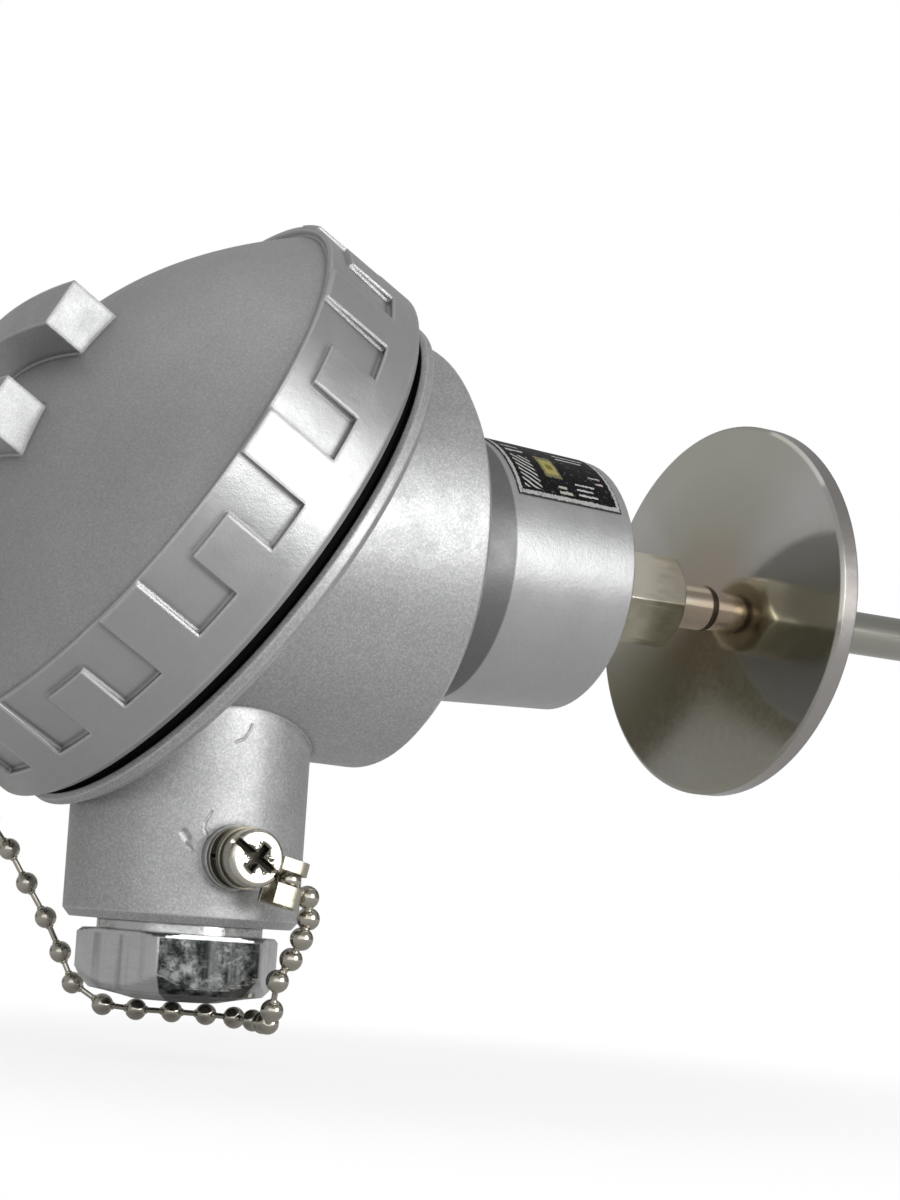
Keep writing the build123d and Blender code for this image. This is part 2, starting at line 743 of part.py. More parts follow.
# Terminal block with clamps, screws and its sprung fixing screws
term_spots = [(TERM_Y, TERM_Z), (TERM_Y, -TERM_Z), (-TERM_Y, TERM_Z), (-TERM_Y, -TERM_Z)]
fix_spots = [(0, FIX_Z), (0, -FIX_Z)]
clamp_base = block_top_x + CLAMP_SINK
clamp_top = clamp_base - CLAMP_H
with BuildPart() as terminal_block:
    with BuildSketch(Plane.YZ.offset(floor_x)):
        Circle(BLOCK_R)
        Circle(BLOCK_HOLE_R, mode=Mode.SUBTRACT)
        with Locations(*fix_spots):
            Circle(FIX_HOLE_R, mode=Mode.SUBTRACT)
    extrude(amount=-BLOCK_H)
    with BuildSketch(Plane.YZ.offset(clamp_base)):
        with Locations(*term_spots):
            Rectangle(CLAMP_W, CLAMP_B)
    extrude(amount=-CLAMP_SINK - 1, mode=Mode.SUBTRACT)
terminal_block.part.label = "terminal_block"
export_step(terminal_block.part, "parts/terminal_block.step")

with BuildPart() as terminal_clamps:
    with BuildSketch(Plane.YZ.offset(clamp_base)):
        with Locations(*term_spots):
            Rectangle(CLAMP_W, CLAMP_B)
    extrude(amount=-CLAMP_H)
    with BuildSketch(Plane.YZ.offset(clamp_top)):
        with Locations(*term_spots):
            Circle(TERM_SCREW_R)
    extrude(amount=CLAMP_H - 1, mode=Mode.SUBTRACT)
terminal_clamps.part.label = "terminal_clamps"
export_step(terminal_clamps.part, "parts/terminal_clamps.step")

with BuildPart() as terminal_screws:
    with BuildSketch(Plane.YZ.offset(clamp_top)):
        with Locations(*term_spots):
            Circle(TERM_HEAD_R)
    extrude(amount=-TERM_HEAD_H)
    with BuildSketch(Plane.YZ.offset(clamp_top)):
        with Locations(*term_spots):
            Circle(TERM_SCREW_R)
    extrude(amount=CLAMP_H - 1)
    with BuildSketch(Plane.YZ.offset(clamp_top - TERM_HEAD_H)):
        with Locations(*term_spots):
            Rectangle(2.2 * TERM_HEAD_R, TERM_SLOT_W, rotation=30)
    extrude(amount=TERM_HEAD_H * 0.5, mode=Mode.SUBTRACT)
terminal_screws.part.label = "terminal_screws"
export_step(terminal_screws.part, "parts/terminal_screws.step")

fix_head_x = block_top_x - SPRING_H
with BuildPart() as block_screws:
    with BuildSketch(Plane.YZ.offset(fix_head_x)):
        with Locations(*fix_spots):
            Circle(FIX_HEAD_R)
    extrude(amount=-FIX_HEAD_H)
    with BuildSketch(Plane.YZ.offset(fix_head_x)):
        with Locations(*fix_spots):
            Circle(FIX_R)
    extrude(amount=floor_x + FIX_TAP - fix_head_x)
    with BuildSketch(Plane.YZ.offset(fix_head_x - FIX_HEAD_H)):
        with Locations(*fix_spots):
            Rectangle(2.2 * FIX_HEAD_R, TERM_SLOT_W)
    extrude(amount=FIX_HEAD_H * 0.5, mode=Mode.SUBTRACT)
block_screws.part.label = "block_screws"
export_step(block_screws.part, "parts/block_screws.step")

spring_span = SPRING_H - 2 * SPRING_WIRE
with BuildPart() as block_springs:
    for dy, dz in fix_spots:
        foot = (block_top_x - SPRING_WIRE, dy, dz)
        with BuildLine() as coil:
            Helix(
                pitch=spring_span / 4,
                height=spring_span,
                radius=SPRING_R,
                center=foot,
                direction=(-1, 0, 0),
            )
        coil_wire = coil.wires()[0]
        with BuildSketch(Plane(origin=coil_wire @ 0, z_dir=coil_wire % 0)):
            Circle(SPRING_WIRE)
        sweep(path=coil_wire, is_frenet=True)
block_springs.part.label = "block_springs"
export_step(block_springs.part, "parts/block_springs.step")
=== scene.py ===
import math

import bmesh
import bpy
from mathutils import Matrix, Vector


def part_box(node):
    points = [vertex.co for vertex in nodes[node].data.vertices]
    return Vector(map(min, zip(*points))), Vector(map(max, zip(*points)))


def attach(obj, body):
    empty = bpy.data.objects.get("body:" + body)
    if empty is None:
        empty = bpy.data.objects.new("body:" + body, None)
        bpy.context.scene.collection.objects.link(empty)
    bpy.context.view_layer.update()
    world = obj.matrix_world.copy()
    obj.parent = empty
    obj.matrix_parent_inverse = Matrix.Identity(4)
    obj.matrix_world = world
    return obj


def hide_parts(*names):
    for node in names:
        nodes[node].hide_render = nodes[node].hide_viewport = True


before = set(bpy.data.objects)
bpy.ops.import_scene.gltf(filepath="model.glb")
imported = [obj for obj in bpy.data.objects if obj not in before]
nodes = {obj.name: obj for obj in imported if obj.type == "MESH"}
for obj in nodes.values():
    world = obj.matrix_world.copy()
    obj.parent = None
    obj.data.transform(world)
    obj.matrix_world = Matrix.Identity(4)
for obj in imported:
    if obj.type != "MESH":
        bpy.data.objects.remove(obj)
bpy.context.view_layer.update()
scene = bpy.context.scene

# Places on the object that the finishes follow, in metres
CAP_TILT = math.radians(60.0)
CAP_WAY = Vector((-math.sin(CAP_TILT), 0.0, math.cos(CAP_TILT)))
SEAM = Vector((-0.0814, 0.0, -0.0017))
DOME_EDGE_R = 0.0359
GAP_HALF = 0.0021
GAP_INNER_R = 0.025
BODY_END_X = -0.0568
COLLAR_X = -0.0473
ENTRY = Vector((-0.0804, 0.0, 0.0))
WORN_FLAT_TURN = math.radians(-96.7)
LABEL_LOW_ANGLE = math.radians(27.0)
LABEL_R = 0.0169
SCREW_FOOT = Vector((-0.08121, -0.01408, -0.0394))
SCREW_WAY = Vector((-0.0576, -0.9983, 0.0))
SCREW_SIDE = Vector((-SCREW_WAY.y, SCREW_WAY.x, 0.0))
UP = Vector((0.0, 0.0, 1.0))

# Hexagon fitting and gland nut, in millimetres; a corner angle counts from the first cross axis
FITTING_ACROSS = 12.0
FITTING_CORNER = math.radians(10.0)
FITTING_END_X = -12.0
FITTING_START_X = -28.5
FITTING_THREAD_R = 5.0
FITTING_THREAD_LEN = 10.0
FITTING_BORE_R = 2.4
TUBE_R = 3.0
NUT_ACROSS = 22.0
NUT_CORNER = math.radians(-66.7)
NUT_TOP_Z = -48.5
NUT_LOW_Z = -55.5
NUT_END_Z = -56.5
NUT_STUB_TOP_Z = -38.8
NUT_STUB_R = 8.02
NUT_NECK_TOP_Z = -47.35
NUT_NECK_R = 9.9
NUT_CORNER_R = 12.8
NUT_BORE_R = 4.7
RING_STEPS = 96
CHAMFER_STEPS = 6

# Chain clip, in metres; a band is its low and high edge across the strap
CLIP_T = 0.0005
CLIP_TILT = math.radians(-12.0)
CLIP_REACH = 0.0071
CLIP_BEND = 0.0015
CLIP_LAP = 0.0036
CLIP_FOOT = 0.0030
UPPER_BAND = (-0.0003, 0.0012)
LOWER_BAND = (-0.0042, -0.0018)
EYELET_R = 0.0033
EYELET_HOLE_R = 0.0020
EYELET_STEPS = 48
BEND_STEPS = 8

# Ball chain: the centres of its balls, from the clip round under the nut to the cap
BALL_R = 0.00135
BALL_MOUTH_R = 0.42 * BALL_R
BALL_MOUTH_DEPTH = 0.10
LINK_R = 0.00035
LINK_STEPS = 12
# A link's end: distances from the ball's middle in ball radii, and how much thicker it is there
LINK_END = ((0.75, 1.5), (1.0, 1.4), (1.12, 1.0))
CHAIN_FOOT = Vector((-0.0804, 0.0, -0.0473))
CHAIN_START = Vector((-0.0765, -0.01926, -0.04155))
CHAIN_END = Vector((-0.10818, 0.01467, -0.03408))
CHAIN_STEPS = [
    (7.2, -18.6, 4.3), (8.1, -16.9, 1.6), (6.8, -17.9, -0.8), (7.0, -15.5, -3.2),
    (5.2, -15.2, -5.8), (5.9, -13.7, -9.5), (7.3, -10.2, -11.1), (8.8, -6.3, -11.1),
    (9.7, -2.2, -11.1), (9.3, 2.0, -11.1), (7.2, 5.6, -11.0), (3.6, 7.9, -11.0),
    (-0.6, 9.3, -11.0), (-4.6, 11.0, -10.9), (-7.7, 13.6, -8.6), (-8.9, 14.6, -4.6),
    (-10.8, 15.5, -0.5), (-13.2, 16.8, 3.5), (-15.3, 18.0, 7.5), (-17.6, 19.2, 11.5),
    (-21.2, 17.9, 11.1), (-24.6, 16.4, 11.8),
]


# Making objects
def show(obj):
    scene.collection.objects.link(obj)
    return obj


def mesh_object(name, build):
    mesh = bpy.data.meshes.new(name)
    bm = bmesh.new()
    build(bm)
    bm.to_mesh(mesh)
    bm.free()
    return show(bpy.data.objects.new(name, mesh))


def join_rings(bm, ring, after):
    for k in range(len(ring)):
        m = (k + 1) % len(ring)
        bm.faces.new((ring[k], ring[m], after[m], after[k]))


def finish_piece(piece, material, body, stands_for):
    """Gives a made piece its finish and its place in the object."""
    for face in piece.data.polygons:
        face.use_smooth = True
    piece.data.set_sharp_from_angle(angle=math.radians(28.0))
    piece.data.materials.append(material)
    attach(piece, body)
    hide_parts(stands_for)


# Camera, placed by the outlines of the round parts; the image and its optical centre in pixels
IMAGE_SIZE = (900.0, 1200.0)
OPTICAL_CENTRE = (286.63, 793.2)


def add_camera():
    right = Vector((0.87605994, -0.47710943, 0.06989687))
    down = Vector((0.08632858, 0.01257286, -0.99618738))
    away = Vector((0.47441159, 0.87875396, 0.05220276))
    place = Vector((-0.1978205, -0.2419236, -0.0450161))
    data = bpy.data.cameras.new("camera")
    cam = show(bpy.data.objects.new("camera", data))
    turn = Matrix((right, -down, -away)).transposed().to_4x4()
    cam.matrix_world = Matrix.Translation(place) @ turn
    data.lens = 67.4435
    data.sensor_width = 36.0
    data.shift_x = (IMAGE_SIZE[0] / 2.0 - OPTICAL_CENTRE[0]) / IMAGE_SIZE[1]
    data.shift_y = (OPTICAL_CENTRE[1] - IMAGE_SIZE[1] / 2.0) / IMAGE_SIZE[1]
    data.clip_start = 0.01
    data.clip_end = 30.0
    scene.camera = cam


# Node helpers
def new_mat(name):
    mat = bpy.data.materials.new(name)
    mat.use_nodes = True
    nt = mat.node_tree
    return mat, nt, nt.nodes["Principled BSDF"]


def feed(nt, value, socket):
    """Links a socket to another, or sets its constant."""
    if hasattr(value, "is_linked"):
        nt.links.new(value, socket)
    elif socket.type == "RGBA" and len(value) == 3:
        socket.default_value = (*value, 1.0)
    else:
        socket.default_value = value


def node(nt, kind, ins=None, **props):
    n = nt.nodes.new(kind)
    for key, value in props.items():
        setattr(n, key, value)
    for key, value in (ins or {}).items():
        feed(nt, value, n.inputs[key])
    return n


def coords(nt):
    return node(nt, "ShaderNodeTexCoord").outputs["Object"]


def noise(nt, vec, scale, detail=2.0, rough=0.5):
    ins = {"Vector": vec, "Scale": scale, "Detail": detail, "Roughness": rough}
    return node(nt, "ShaderNodeTexNoise", ins).outputs["Fac"]


def calc(nt, op, a, b=0.0):
    return node(nt, "ShaderNodeMath", {0: a, 1: b}, operation=op).outputs["Value"]


def axis_of(nt, vec, axis):
    return node(nt, "ShaderNodeSeparateXYZ", {0: vec}).outputs[axis]


def face_normal(nt):
    return node(nt, "ShaderNodeNewGeometry").outputs["True Normal"]


def vec_calc(nt, op, a, b=(0.0, 0.0, 0.0), out="Vector"):
    return node(nt, "ShaderNodeVectorMath", {0: a, 1: b}, operation=op).outputs[out]


def span(nt, value, a, b, lo=0.0, hi=1.0, smooth=False):
    kind = "SMOOTHSTEP" if smooth else "LINEAR"
    ins = {"Value": value, "From Min": a, "From Max": b, "To Min": lo, "To Max": hi}
    return node(nt, "ShaderNodeMapRange", ins, interpolation_type=kind).outputs["Result"]


def blend(nt, fac, a, b, kind="MIX"):
    ins = {0: fac, 6: a, 7: b}
    return node(nt, "ShaderNodeMix", ins, data_type="RGBA", blend_type=kind).outputs[2]


def bump(nt, height, strength, distance, normal=None):
    ins = {"Height": height, "Strength": strength, "Distance": distance}
    if normal is not None:
        ins["Normal"] = normal
    return node(nt, "ShaderNodeBump", ins).outputs["Normal"]


def ramp(nt, fac, stops):
    r = node(nt, "ShaderNodeValToRGB", {"Fac": fac})
    els = r.color_ramp.elements
    while len(els) < len(stops):
        els.new(0.5)
    for el, (pos, col) in zip(els, stops):
        el.position = pos
        el.color = (*col, 1.0)
    return r.outputs["Color"]


def shade(col, factor):
    return tuple(min(1.0, c * factor) for c in col)


def axis_parts(nt, vec, origin, way):
    """Height along an axis and distance from it."""
    rel = vec_calc(nt, "SUBTRACT", vec, origin)
    height = vec_calc(nt, "DOT_PRODUCT", rel, way, "Value")
    off = vec_calc(nt, "LENGTH", vec_calc(nt, "CROSS_PRODUCT", rel, way), out="Value")
    return height, off


# Effects that several materials share
def effect(name, ins, outs):
    tree = bpy.data.node_groups.new(name, "ShaderNodeTree")
    for label, default in ins.items():
        kind = "NodeSocketVector" if default is None or hasattr(default, "__len__") else "NodeSocketFloat"
        socket = tree.interface.new_socket(name=label, in_out="INPUT", socket_type=kind)
        if default is not None:
            socket.default_value = default
    for label in outs:
        kind = "NodeSocketVector" if label == "Normal" else "NodeSocketFloat"
        tree.interface.new_socket(name=label, in_out="OUTPUT", socket_type=kind)
    given = tree.nodes.new("NodeGroupInput").outputs
    gives = tree.nodes.new("NodeGroupOutput").inputs
    return tree, given, gives


def use(nt, tree, **values):
    n = node(nt, "ShaderNodeGroup", node_tree=tree)
    for key, value in values.items():
        feed(nt, value, n.inputs[key.replace("_", " ")])
    return n.outputs


def make_casting_grain():
    ins = {"Vector": None, "Flake Scale": 3000.0, "Skin Scale": 900.0}
    tree, given, gives = effect("casting_grain", ins, ("Spark", "Cloud", "Height"))
    cell = {"Vector": given["Vector"], "Scale": given["Flake Scale"]}
    flake = node(tree, "ShaderNodeTexVoronoi", cell)
    feed(tree, calc(tree, "ADD", flake.outputs["Color"], 0.0), gives["Spark"])
    feed(tree, noise(tree, given["Vector"], 85.0, 4.0, 0.62), gives["Cloud"])
    skin = noise(tree, given["Vector"], given["Skin Scale"], 4.0, 0.68)
    pits = calc(tree, "MULTIPLY", flake.outputs["Distance"], -0.25)
    feed(tree, calc(tree, "ADD", skin, pits), gives["Height"])
    return tree


def make_worn_edge():
    tree, given, gives = effect("worn_edge", {"Radius": 0.0003, "Reach": 0.12}, ("Mask", "Normal"))
    round_normal = node(tree, "ShaderNodeBevel", {"Radius": given["Radius"]}, samples=4).outputs["Normal"]
    facing = vec_calc(tree, "DOT_PRODUCT", round_normal, face_normal(tree), "Value")
    off = calc(tree, "SUBTRACT", 1.0, facing)
    feed(tree, span(tree, off, 0.01, given["Reach"], smooth=True), gives["Mask"])
    feed(tree, round_normal, gives["Normal"])
    return tree


# Painted shade: darkens hollows and crevices, most where they are most shut in.
def make_corner_shade():
    tree, given, gives = effect("corner_shade", {"Distance": 0.001, "Power": 1.6}, ("Mask",))
    ins = {"Distance": given["Distance"]}
    open_sky = node(tree, "ShaderNodeAmbientOcclusion", ins, samples=6, only_local=True).outputs["AO"]
    shut = calc(tree, "SUBTRACT", 1.0, open_sky)
    feed(tree, calc(tree, "MULTIPLY", shut, given["Power"]), gives["Mask"])
    return tree


def make_tool_lines():
    ins = {"Vector": None, "Stretch": (60.0, 60.0, 60.0), "Fineness": 15.0}
    tree, given, gives = effect("tool_lines", ins, ("Lines", "Cloud"))
    mapped = node(tree, "ShaderNodeMapping", {"Vector": given["Vector"], "Scale": given["Stretch"]})
    feed(tree, noise(tree, mapped.outputs["Vector"], given["Fineness"], 3.0, 0.6), gives["Lines"])
    feed(tree, noise(tree, given["Vector"], 90.0, 3.0), gives["Cloud"])
    return tree


def make_printed_bar():
    ins = {"Across": 0.0, "Round": 0.0, "Left": 0.0, "Right": 1.0, "Low": 0.0, "High": 1.0}
    tree, given, gives = effect("printed_bar", ins, ("Mask",))
    sides = (("GREATER_THAN", "Across", "Left"), ("LESS_THAN", "Across", "Right"),
             ("GREATER_THAN", "Round", "Low"), ("LESS_THAN", "Round", "High"))
    mask = 1.0
    for op, value, limit in sides:
        mask = calc(tree, "MULTIPLY", calc(tree, op, given[value], given[limit]), mask)
    feed(tree, mask, gives["Mask"])
    return tree


def make_scratch():
    ins = {"Vector": None, "Start": (0.0, 0.0, 0.0), "Stop": (0.0, 0.0, 0.001), "Radius": 0.0003}
    tree, given, gives = effect("scratch", ins, ("Height",))
    rel = vec_calc(tree, "SUBTRACT", given["Vector"], given["Start"])
    run = vec_calc(tree, "SUBTRACT", given["Stop"], given["Start"])
    share = calc(tree, "DIVIDE", vec_calc(tree, "DOT_PRODUCT", rel, run, "Value"),
                 vec_calc(tree, "DOT_PRODUCT", run, run, "Value"))
    ins = {0: run, "Scale": span(tree, share, 0.0, 1.0)}
    nearest = node(tree, "ShaderNodeVectorMath", ins, operation="SCALE").outputs["Vector"]
    gap = vec_calc(tree, "DISTANCE", rel, nearest, "Value")
    feed(tree, span(tree, gap, 0.0, given["Radius"], -1.0, 0.0, smooth=True), gives["Height"])
    return tree


casting_grain = make_casting_grain()
worn_edge = make_worn_edge()
corner_shade = make_corner_shade()
tool_lines = make_tool_lines()
printed_bar = make_printed_bar()
scratch = make_scratch()


# Flaws in the boss's paint: places that a scratch runs through, and its half width
BOSS_FLAWS = [
    ([(-0.08680, -0.01258, -0.03700), (-0.08640, -0.01277, -0.03775)], 0.0007),
    ([(-0.08625, -0.01284, -0.03850), (-0.08590, -0.01297, -0.03890)], 0.0004),
    ([(-0.08401, -0.01363, -0.03441), (-0.08465, -0.01344, -0.03560), (-0.08470, -0.01343, -0.03640),
      (-0.08430, -0.01354, -0.03730)], 0.00026),
    ([(-0.08380, -0.01370, -0.03690), (-0.08240, -0.01400, -0.03660)], 0.0002),
    ([(-0.08180, -0.01403, -0.02623), (-0.08080, -0.01409, -0.02580), (-0.08005, -0.01409, -0.02475),
      (-0.07991, -0.01409, -0.02410)], 0.00026),
]


def flaw_depth(nt, vec, flaws):
    """Scratches in the paint; wide ones are deeper."""
    depth = 0.0
    for places, radius in flaws:
        for start, stop in zip(places, places[1:]):
            groove = use(nt, scratch, Vector=vec, Start=start, Stop=stop, Radius=radius)["Height"]
            depth = calc(nt, "MINIMUM", calc(nt, "MULTIPLY", groove, radius * 2000.0), depth)
    return depth


# Cast and painted parts
def cast_finish(name, base, flakes, edge, smooth, flake_scale, gap_side, dark=None, flaws=()):
    """Silver paint with metal flake on a casting; smooth gives 1 where the skin is machined or rubbed."""
    mat, nt, bsdf = new_mat(name)
    vec = coords(nt)
    grain = use(nt, casting_grain, Vector=vec, Flake_Scale=flake_scale)
    even = smooth(nt, vec)
    tone = blend(nt, grain["Cloud"], shade(base, 0.90), shade(base, 1.10))
    low, high = flakes
    stops = [(0.15, (low,) * 3), (0.55, (1.0,) * 3), (0.85, (high,) * 3)]
    spark = ramp(nt, grain["Spark"], stops)
    flaked = blend(nt, 1.0, tone, spark, "MULTIPLY")
    colour = blend(nt, span(nt, even, 0.0, 1.0, 0.0, 0.75), flaked, tone)
    # painted shade: the zone that the given function picks is painted darker
    if dark:
        colour = blend(nt, dark(nt, vec), colour, shade(base, 0.30))
    # painted shade in hollows and crevices
    shaded_corners = use(nt, corner_shade, Distance=0.0009)["Mask"]
    colour = blend(nt, shaded_corners, colour, shade(base, 0.16))
    worn = use(nt, worn_edge, Radius=edge)
    colour = blend(nt, calc(nt, "MULTIPLY", worn["Mask"], 0.75), colour, (0.88, 0.88, 0.88))
    # painted shade: black on the faces that look into the gap between cap and housing
    gap = seam_gap_shade(nt, vec, gap_side)
    colour = blend(nt, gap, colour, (0.004, 0.004, 0.004))
    feed(nt, colour, bsdf.inputs["Base Color"])
    feed(nt, span(nt, gap, 0.0, 1.0, 0.7, 0.0), bsdf.inputs["Metallic"])
    blotch = span(nt, noise(nt, vec, 260.0, 3.0), 0.3, 0.7, 0.40, 0.52)
    feed(nt, calc(nt, "SUBTRACT", blotch, calc(nt, "MULTIPLY", even, 0.10)), bsdf.inputs["Roughness"])
    normal = bump(nt, grain["Height"], 0.32, 0.00010, worn["Normal"])
    if flaws:
        normal = bump(nt, flaw_depth(nt, vec, flaws), 0.8, 0.0002, normal)
    feed(nt, normal, bsdf.inputs["Normal"])
    return mat


def seam_gap_shade(nt, vec, side):
    """Painted shade: the faces that look into the gap between cap and housing are painted black, standing
    in for the deep shadow in the gap.
    """
    height, off = axis_parts(nt, vec, SEAM, CAP_WAY)
    facing = calc(nt, "MULTIPLY", vec_calc(nt, "DOT_PRODUCT", face_normal(nt), CAP_WAY, "Value"), side)
    near = span(nt, calc(nt, "ABSOLUTE", height), GAP_HALF + 0.0003, GAP_HALF)
    wide = span(nt, off, GAP_INNER_R, GAP_INNER_R + 0.0005)
    return calc(nt, "MULTIPLY", calc(nt, "MULTIPLY", span(nt, facing, 0.75, 0.8), near), wide)


def rubbed_rim(nt, vec):
    """The cap's rim, where hands and tools have rubbed the paint smooth."""
    off = axis_parts(nt, vec, SEAM, CAP_WAY)[1]
    return span(nt, off, DOME_EDGE_R - 0.0002, DOME_EDGE_R + 0.0002)


def machined_collar(nt, vec):
    return span(nt, axis_of(nt, vec, "X"), COLLAR_X, COLLAR_X + 0.0003)


def shaded_neck(nt, vec):
    """Painted shade on the groove between the round body and the collar, standing in for the dark body that
    the groove reflects.
    """
    x = axis_of(nt, vec, "X")
    start = span(nt, x, BODY_END_X - 0.0001, BODY_END_X + 0.0002)
    stop = span(nt, x, COLLAR_X, COLLAR_X + 0.0003, 1.0, 0.0)
    return calc(nt, "MULTIPLY", calc(nt, "MULTIPLY", start, stop), 0.85)


# Bare and plated metals
def metal_finish(name, base, rough, stretch=(60.0, 60.0, 60.0), vary=0.06, cut=0.06, edge=0.0002,
                 wobble=0.0, aniso=0.0, axis=None, extra=None, lift=0.3):
    """Metal with tool lines along one direction and bright edges."""
    mat, nt, bsdf = new_mat(name)
    vec = coords(nt)
    marks = use(nt, tool_lines, Vector=vec, Stretch=stretch)
    colour = blend(nt, marks["Cloud"], shade(base, 1.0 - vary), shade(base, 1.0 + vary))
    roughness = span(nt, marks["Lines"], 0.3, 0.7, rough * 0.8, rough * 1.25)
    worn = use(nt, worn_edge, Radius=edge)
    normal = bump(nt, marks["Lines"], cut, 0.0001, worn["Normal"])
    if wobble:
        normal = bump(nt, noise(nt, vec, 260.0, 3.0, 0.6), wobble, 0.0006, normal)
    if extra:
        colour, roughness, normal = extra(nt, vec, colour, roughness, normal)
    colour = blend(nt, calc(nt, "MULTIPLY", worn["Mask"], lift), colour, (0.85, 0.84, 0.81))
    feed(nt, colour, bsdf.inputs["Base Color"])
    feed(nt, roughness, bsdf.inputs["Roughness"])
    feed(nt, normal, bsdf.inputs["Normal"])
    bsdf.inputs["Metallic"].default_value = 1.0
    bsdf.inputs["Anisotropic"].default_value = aniso
    if axis:
        tangent = node(nt, "ShaderNodeTangent", direction_type="RADIAL", axis=axis)
        feed(nt, tangent.outputs["Tangent"], bsdf.inputs["Tangent"])
    return mat


# Zones of the flange's back: ways across the axis, and distances from it
DARK_REFLECTION_WAY = (0.0, -0.94, -0.34)
LOW_SHADE_WAY = (0.0, 0.10, -0.995)
FLANGE_EDGE_R = 0.027
STAIN_R = 0.021
HUB_R = 0.008
TINT_R = 0.013
TUBE_EDGE_R = 0.004


def turned_face(nt, vec, colour, roughness, normal):
    """Rings from the lathe, sectors that shine by turns, heat tint by the hub, a painted dark reflection in
    a wedge beside the hub, and painted shade on the lower sector.
    """
    flat = vec_calc(nt, "MULTIPLY", vec, (0.0, 1.0, 1.0))
    off = vec_calc(nt, "LENGTH", flat, out="Value")
    ray = vec_calc(nt, "NORMALIZE", flat)
    sector = noise(nt, ray, 1.3, 1.0)
    olive = blend(nt, 1.0, colour, (0.90, 0.90, 0.83), "MULTIPLY")
    colour = blend(nt, span(nt, sector, 0.38, 0.62, smooth=True), olive, colour)
    # painted reflection: a dark wedge beside the hub, standing in for dark surroundings that the turned
    # face mirrors
    wedge = vec_calc(nt, "DOT_PRODUCT", ray, DARK_REFLECTION_WAY, "Value")
    near = span(nt, off, FLANGE_EDGE_R, TUBE_EDGE_R, 0.25, 0.72)
    dark = calc(nt, "MULTIPLY", span(nt, wedge, 0.80, 0.97, smooth=True), near)
    colour = blend(nt, dark, colour, (0.12, 0.11, 0.085))
    # painted shade: the lower sector is painted darker and browner
    below = vec_calc(nt, "DOT_PRODUCT", ray, LOW_SHADE_WAY, "Value")
    colour = blend(nt, span(nt, below, 0.15, 0.92, 0.0, 0.75, smooth=True), colour, (0.33, 0.315, 0.26))
    colour = blend(nt, span(nt, off, STAIN_R, HUB_R, 0.0, 0.5), colour, (0.36, 0.335, 0.25))
    tint = calc(nt, "MULTIPLY", span(nt, off, TINT_R, TUBE_EDGE_R), 0.5)
    colour = blend(nt, tint, colour, (0.50, 0.38, 0.31))
    rings = noise(nt, node(nt, "ShaderNodeCombineXYZ", {0: off}).outputs["Vector"], 1400.0, 2.0)
    normal = bump(nt, rings, 0.015, 0.00006, normal)
    rim = span(nt, calc(nt, "ABSOLUTE", axis_of(nt, face_normal(nt), "X")), 0.8, 0.5)
    colour = blend(nt, rim, colour, (0.43, 0.405, 0.39))
    return colour, calc(nt, "ADD", roughness, calc(nt, "MULTIPLY", rim, 0.15)), normal


# Dark rings of the tube: where each begins, is dark from and to, and ends; and where the painted light of
# its pale stretch starts
DARK_RINGS = ((-0.0124, -0.0121, -0.0113, -0.0110), (-0.0056, -0.0054, -0.0049, -0.0046))
PAINTED_LIGHT_FROM_X = -0.0030


def dark_rings_and_painted_light(nt, vec, colour, roughness, normal):
    """Dark rings where the tube goes into the fitting and the flange, and painted light that makes the tube
    paler between fitting and flange.
    """
    x = axis_of(nt, vec, "X")
    rings = [calc(nt, "MULTIPLY", span(nt, x, start, dark_from), span(nt, x, stop, dark_to))
             for start, dark_from, dark_to, stop in DARK_RINGS]
    mask = calc(nt, "MULTIPLY", calc(nt, "ADD", *rings), 0.9)
    # painted light: the tube between fitting and flange is painted paler, standing in for the light that
    # flange and fitting keep from it
    colour = blend(nt, span(nt, x, PAINTED_LIGHT_FROM_X, PAINTED_LIGHT_FROM_X - 0.001), colour, (0.93, 0.88, 0.81))
    colour = blend(nt, mask, colour, (0.035, 0.025, 0.015))
    return colour, calc(nt, "ADD", roughness, calc(nt, "MULTIPLY", mask, 0.3)), normal


def darker_facing_down(nt, vec, colour, roughness, normal):
    """Darker, browner colour on the flats that look down, patchy in a cloud."""
    under = span(nt, axis_of(nt, face_normal(nt), "Z"), 0.1, -0.5)
    cloud = span(nt, noise(nt, vec, 240.0, 3.0), 0.3, 0.7, 0.7, 1.0)
    colour = blend(nt, calc(nt, "MULTIPLY", under, cloud), colour, (0.38, 0.35, 0.255))
    return colour, roughness, normal


# A flat's edge, as the cosine of the angle from its middle, which is 30 degrees
FLAT_EDGE = (0.868, 0.876)


